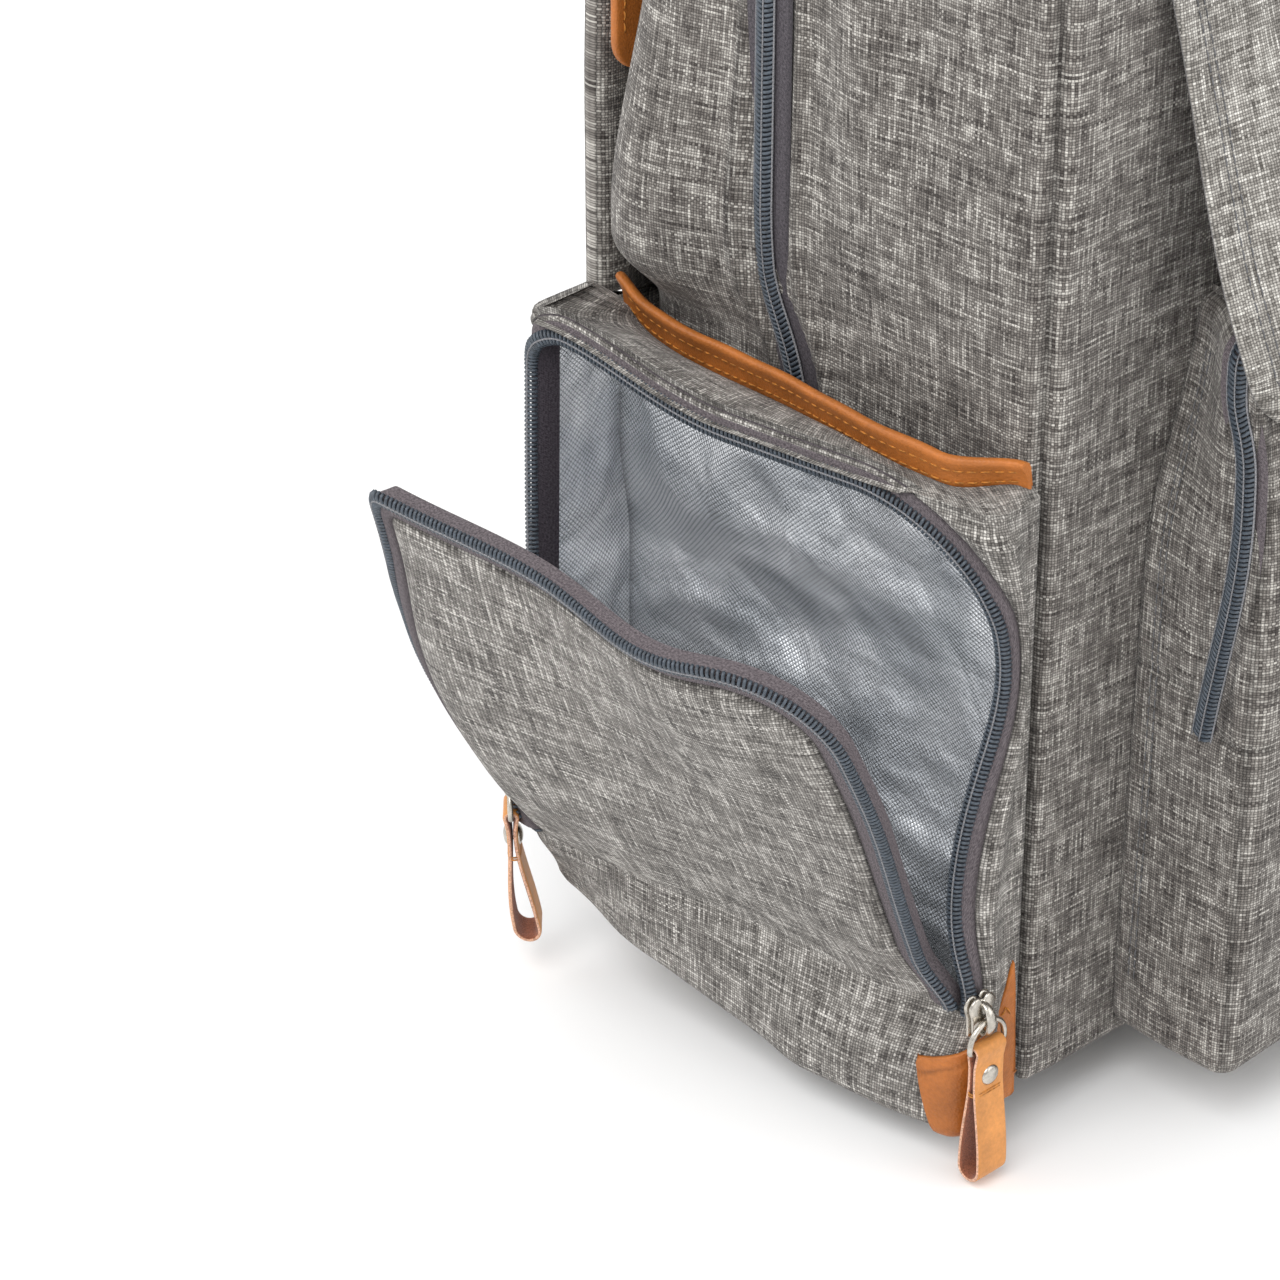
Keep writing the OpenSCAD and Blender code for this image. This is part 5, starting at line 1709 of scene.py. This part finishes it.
def slider_shape():
    """Zip slider: two flared lips over the coil, a waist, and a curved bridge that holds the ring."""
    body = Shape()
    right = [[2.9, -6.2], [3.6, -3.6], [4.0, 0.5], [4.9, 4.2], [3.4, 6.6], [1.5, 6.9]]
    left = [[-x, y] for x, y in right[::-1]]
    outline = np.array(left[-1:] + right + [[0, 5.2]] + left[:-1]) * MM
    dense = []
    for k in range(len(outline)):
        p0, p1, p2, p3 = (outline[(k + j - 1) % len(outline)] for j in range(4))
        for t in np.linspace(0, 1, 5, endpoint=False):
            dense.append(0.5 * ((2 * p1) + (p2 - p0) * t + (2 * p0 - 5 * p1 + 4 * p2 - p3) * t ** 2
                                + (-p0 + 3 * p1 - 3 * p2 + p3) * t ** 3))
    dense = np.array(dense)
    centre = np.array([0, 0.2 * MM])
    for base, thick in ((0.1 * MM, 1.1 * MM), (2.0 * MM, 1.2 * MM)):
        rows = []
        for scale, level in ((0.0, 0), (0.9, 0), (0.98, 0.18), (1.0, 0.5), (0.98, 0.82), (0.9, 1), (0.0, 1)):
            ring = centre + (dense - centre) * scale
            crown = 0.5 * MM * (1 - scale) if level == 1 else 0
            rows.append(stack(base + thick * level + crown, ring[:, 0], ring[:, 1]))
        body.grid(np.array(rows), wrap=True)
    post = stack(np.linspace(0.6, 2.6, 4) * MM, 0.0, 4.6 * MM)
    body.tube(post, 1.3 * MM, 12)
    a = np.linspace(math.radians(-8), math.radians(188), 22)
    bridge = stack(3.0 * MM + 3.3 * MM * np.sin(a), 0 * a, -0.2 * MM + 4.9 * MM * np.cos(a))
    width = (1.15 + 0.55 * np.sin(a) ** 2) * MM
    body.tube(bridge, width, 12, across=(0, 1, 0), flat=0.55)
    return body


def pull_shape(lean=0.0):
    """Wire ring and riveted leather loop below the pivot; lean is how far its tip rests inwards."""
    parts = {key: Shape() for key in ("wire", "leather", "edge", "inside", "thread")}
    ring_r, bar = 6.6 * MM, -8.5 * MM
    a = np.linspace(0, math.pi, 22)
    loop = np.concatenate([
        stack(0.0, ring_r * np.cos(a), -ring_r + ring_r * np.sin(a)),
        stack(0.0, -ring_r, np.linspace(-ring_r, bar + 0.6 * MM, 4)[1:]),
        stack(0.0, np.linspace(-ring_r + 0.8 * MM, ring_r - 0.8 * MM, 12), bar),
        stack(0.0, ring_r, np.linspace(bar + 0.6 * MM, -ring_r, 4)[:-1]),
    ])
    parts["wire"].tube(loop, 0.85 * MM, 10, closed=True)
    # leather strap: centre line of the loop in (out, up), from the fold down one side and up the other
    t = np.linspace(-math.pi / 2, math.pi / 2, 11)
    fold = stack(1.75 * MM * np.sin(t), bar + 1.75 * MM * np.cos(t) - 0.2 * MM)
    down = np.linspace(0, 1, 26)[1:]
    out = 0.95 + 2.55 * np.sin(np.clip((down - 0.26) / 0.74, 0, 1) * math.pi / 2) ** 1.5
    out = np.where(down < 0.12, 1.75 - (down / 0.12) * 0.8, out)
    side = stack(out * MM, bar + (-46.7 * MM - bar) * down)
    low = np.linspace(0, math.pi, 15)[1:-1]
    tip = stack(3.5 * MM * np.cos(low), -46.7 * MM - 3.7 * MM * np.sin(low))
    line = np.concatenate([fold, side, tip, (side * [-1, 1])[::-1]])
    step = unit(np.gradient(line, axis=0))
    step[0] = step[-1] = unit(line[1] - line[-2])
    normal = np.stack([-step[:, 1], step[:, 0]], -1)
    if np.sum(normal * (line - line.mean(0))) < 0:
        normal = -normal
    half_w, thick = 5.5 * MM, 0.62 * MM
    across = np.array([-1, -0.97, -0.85, -0.5, 0, 0.5, 0.85, 0.97, 1]) * half_w
    crown = np.array([0.62, 0.85, 1, 1, 1, 1, 1, 0.85, 0.62])
    for key, sign in (("leather", 1), ("inside", -1)):
        rows = []
        for y, c in zip(across, crown):
            p = line + normal * sign * thick * c
            rows.append(stack(p[:, 0], y, p[:, 1]))
        parts[key].grid(np.array(rows), wrap=True, flip=sign < 0)
    for y, flip in ((-half_w, False), (half_w, True)):
        rows = []
        for k, proud in ((1, 0), (0.4, 1), (-0.4, 1), (-1, 0)):
            p = line + normal * k * thick * 0.62
            rows.append(stack(p[:, 0], y + math.copysign(0.16 * MM, y) * proud, p[:, 1]))
        parts["edge"].grid(np.array(rows), wrap=True, flip=flip)
    for sign in (-1, 1):
        rows = []
        for r, h in ((3.1, 0), (3.05, 0.35), (2.6, 0.75), (1.7, 1.15), (0.8, 1.35), (0.0, 1.42)):
            b = np.linspace(0, 2 * math.pi, 24, endpoint=False)
            rows.append(stack(sign * (1.5 + h) * MM, r * MM * np.cos(b), -17 * MM + r * MM * np.sin(b)))
        parts["wire"].grid(np.array(rows), wrap=True, flip=sign < 0)
    for z in (-21.6 * MM, -22.4 * MM):
        wrap = np.linspace(0, 2 * math.pi, 20, endpoint=False)
        square = np.sign(np.sin(wrap)) * np.abs(np.sin(wrap)) ** 0.35
        hoop = stack(1.75 * MM * np.cos(wrap), 5.75 * MM * square, z)
        parts["thread"].tube(hoop, 0.27 * MM, 6, closed=True)
    for part in parts.values():
        part.points = [p - lean * (p[:, 2:] / (50 * MM)) ** 2 * [1, 0, 0] for p in part.points]
    return parts


def make_pulls():
    """Every zip's slider and pull, placed by its pull's joint."""
    slider, pull, leaning = slider_shape(), pull_shape(), pull_shape(5 * MM)
    for side in (LEFT, RIGHT):
        for kind in ("front", "rear", "gusset", "top"):
            name = f"{SIDE_NAME[side]}_{kind}"
            pivot, axis = seat(f"{name}_pull_hinge")
            along = np.array([0, 0, 1.0])
            if kind in ("top", "gusset"):
                along = np.array([-float(side), 0, 0])
                out = np.array([0, 0, 1.0])
            else:
                out = unit(np.cross(along, axis))
                ahead = {"front": [0, -1, 0], "rear": [side * 0.73, 0.68, 0]}[kind]
                if out @ np.array(ahead) < 0:
                    out = -out
            across = np.cross(along, out)
            axes = np.stack([out, across, along], -1)
            body = Shape()
            body.copies(slider, [(pivot - out * 4.9 * MM, axes)])
            body.make(f"{name}_slider_metal", [NICKEL], "nickel", f"{name}_slider", (f"{name}_slider",))
            parts = Shape()
            for key, slot in (("wire", 0), ("leather", 1), ("edge", 2), ("inside", 3), ("thread", 4)):
                parts.copies((leaning if kind == "rear" else pull)[key], [(pivot, axes)], slot)
            parts.make(f"{name}_pull_leather", [NICKEL, PULL_LEATHER, RAW_EDGE, SUEDE, THREAD_OCHRE],
                       "pull_leather", f"{name}_pull", (f"{name}_pull",))


# ---------------------------------------------------------------- stage


def make_stage():
    """Floor, world light and three soft lamps."""
    bpy.ops.mesh.primitive_plane_add(size=12)
    floor = bpy.context.object
    floor.name = "floor"
    g = Graph("floor_white", roughness=0.9, Specular_IOR_Level=0.1)
    floor.data.materials.append(g.finish((0.95, 0.95, 0.95, 1)))
    world = bpy.data.worlds.new("studio")
    bpy.context.scene.world = world
    world.use_nodes = True
    world.node_tree.nodes["Background"].inputs[0].default_value = (1, 1, 1, 1)
    world.node_tree.nodes["Background"].inputs[1].default_value = 0.95
    bpy.context.scene.view_settings.view_transform = "Standard"
    for name, place, size, power, aim in (
        ("key_light", (-1.5, -0.5, 1.9), 1.4, 26, (-0.1, 0, 0.2)),
        ("fill_light", (0.6, -1.9, 1.3), 1.6, 10, (0, 0, 0.2)),
        ("rim_light", (-1.2, 1.6, 1.4), 1.4, 10, (0, 0, 0.2)),
    ):
        lamp = bpy.data.lights.new(name, "AREA")
        lamp.energy = power
        lamp.size = size
        lamp_object = bpy.data.objects.new(name, lamp)
        bpy.context.scene.collection.objects.link(lamp_object)
        lamp_object.location = place
        direction = Vector(aim) - Vector(place)
        lamp_object.rotation_euler = direction.to_track_quat("-Z", "Y").to_euler()


def make_camera():
    """The photograph's viewpoint: from the left front, 31 degrees up, on a long lens."""
    azimuth, elevation = math.radians(-43), math.radians(31)
    level = math.cos(elevation)
    back = Vector((math.sin(azimuth) * level, -math.cos(azimuth) * level, math.sin(elevation)))
    camera = bpy.data.cameras.new("camera")
    camera.lens = 140.6
    camera.sensor_width = 36
    holder = bpy.data.objects.new("camera", camera)
    bpy.context.scene.collection.objects.link(holder)
    holder.location = (-0.97792, -0.82517, 0.83414)
    holder.rotation_euler = (-back).to_track_quat("-Z", "Y").to_euler()
    bpy.context.scene.camera = holder


make_camera()
make_stage()
make_body()
for which in (LEFT, RIGHT):
    make_pocket(which)
    make_door(which)
    make_side_zip(which)
    make_strap(which)
    make_side_tab(which)
make_top_zip()
make_front_pocket()
make_lid()
make_lid_seam()
make_back()
make_yoke()
make_webbing()
make_base()
make_handle()
make_pulls()


def dress(node, material):
    """Gives a CAD piece that stays as it is a better material."""
    for slot in nodes[node].material_slots:
        slot.material = material


for node, material in (
    ("base_board", BOARD), ("sleeve_divider", LINING), ("strap_adjusters", BLACK), ("handle_anchors", NICKEL),
    ("snap_sockets", NICKEL), ("snap_studs", NICKEL),
):
    dress(node, material)
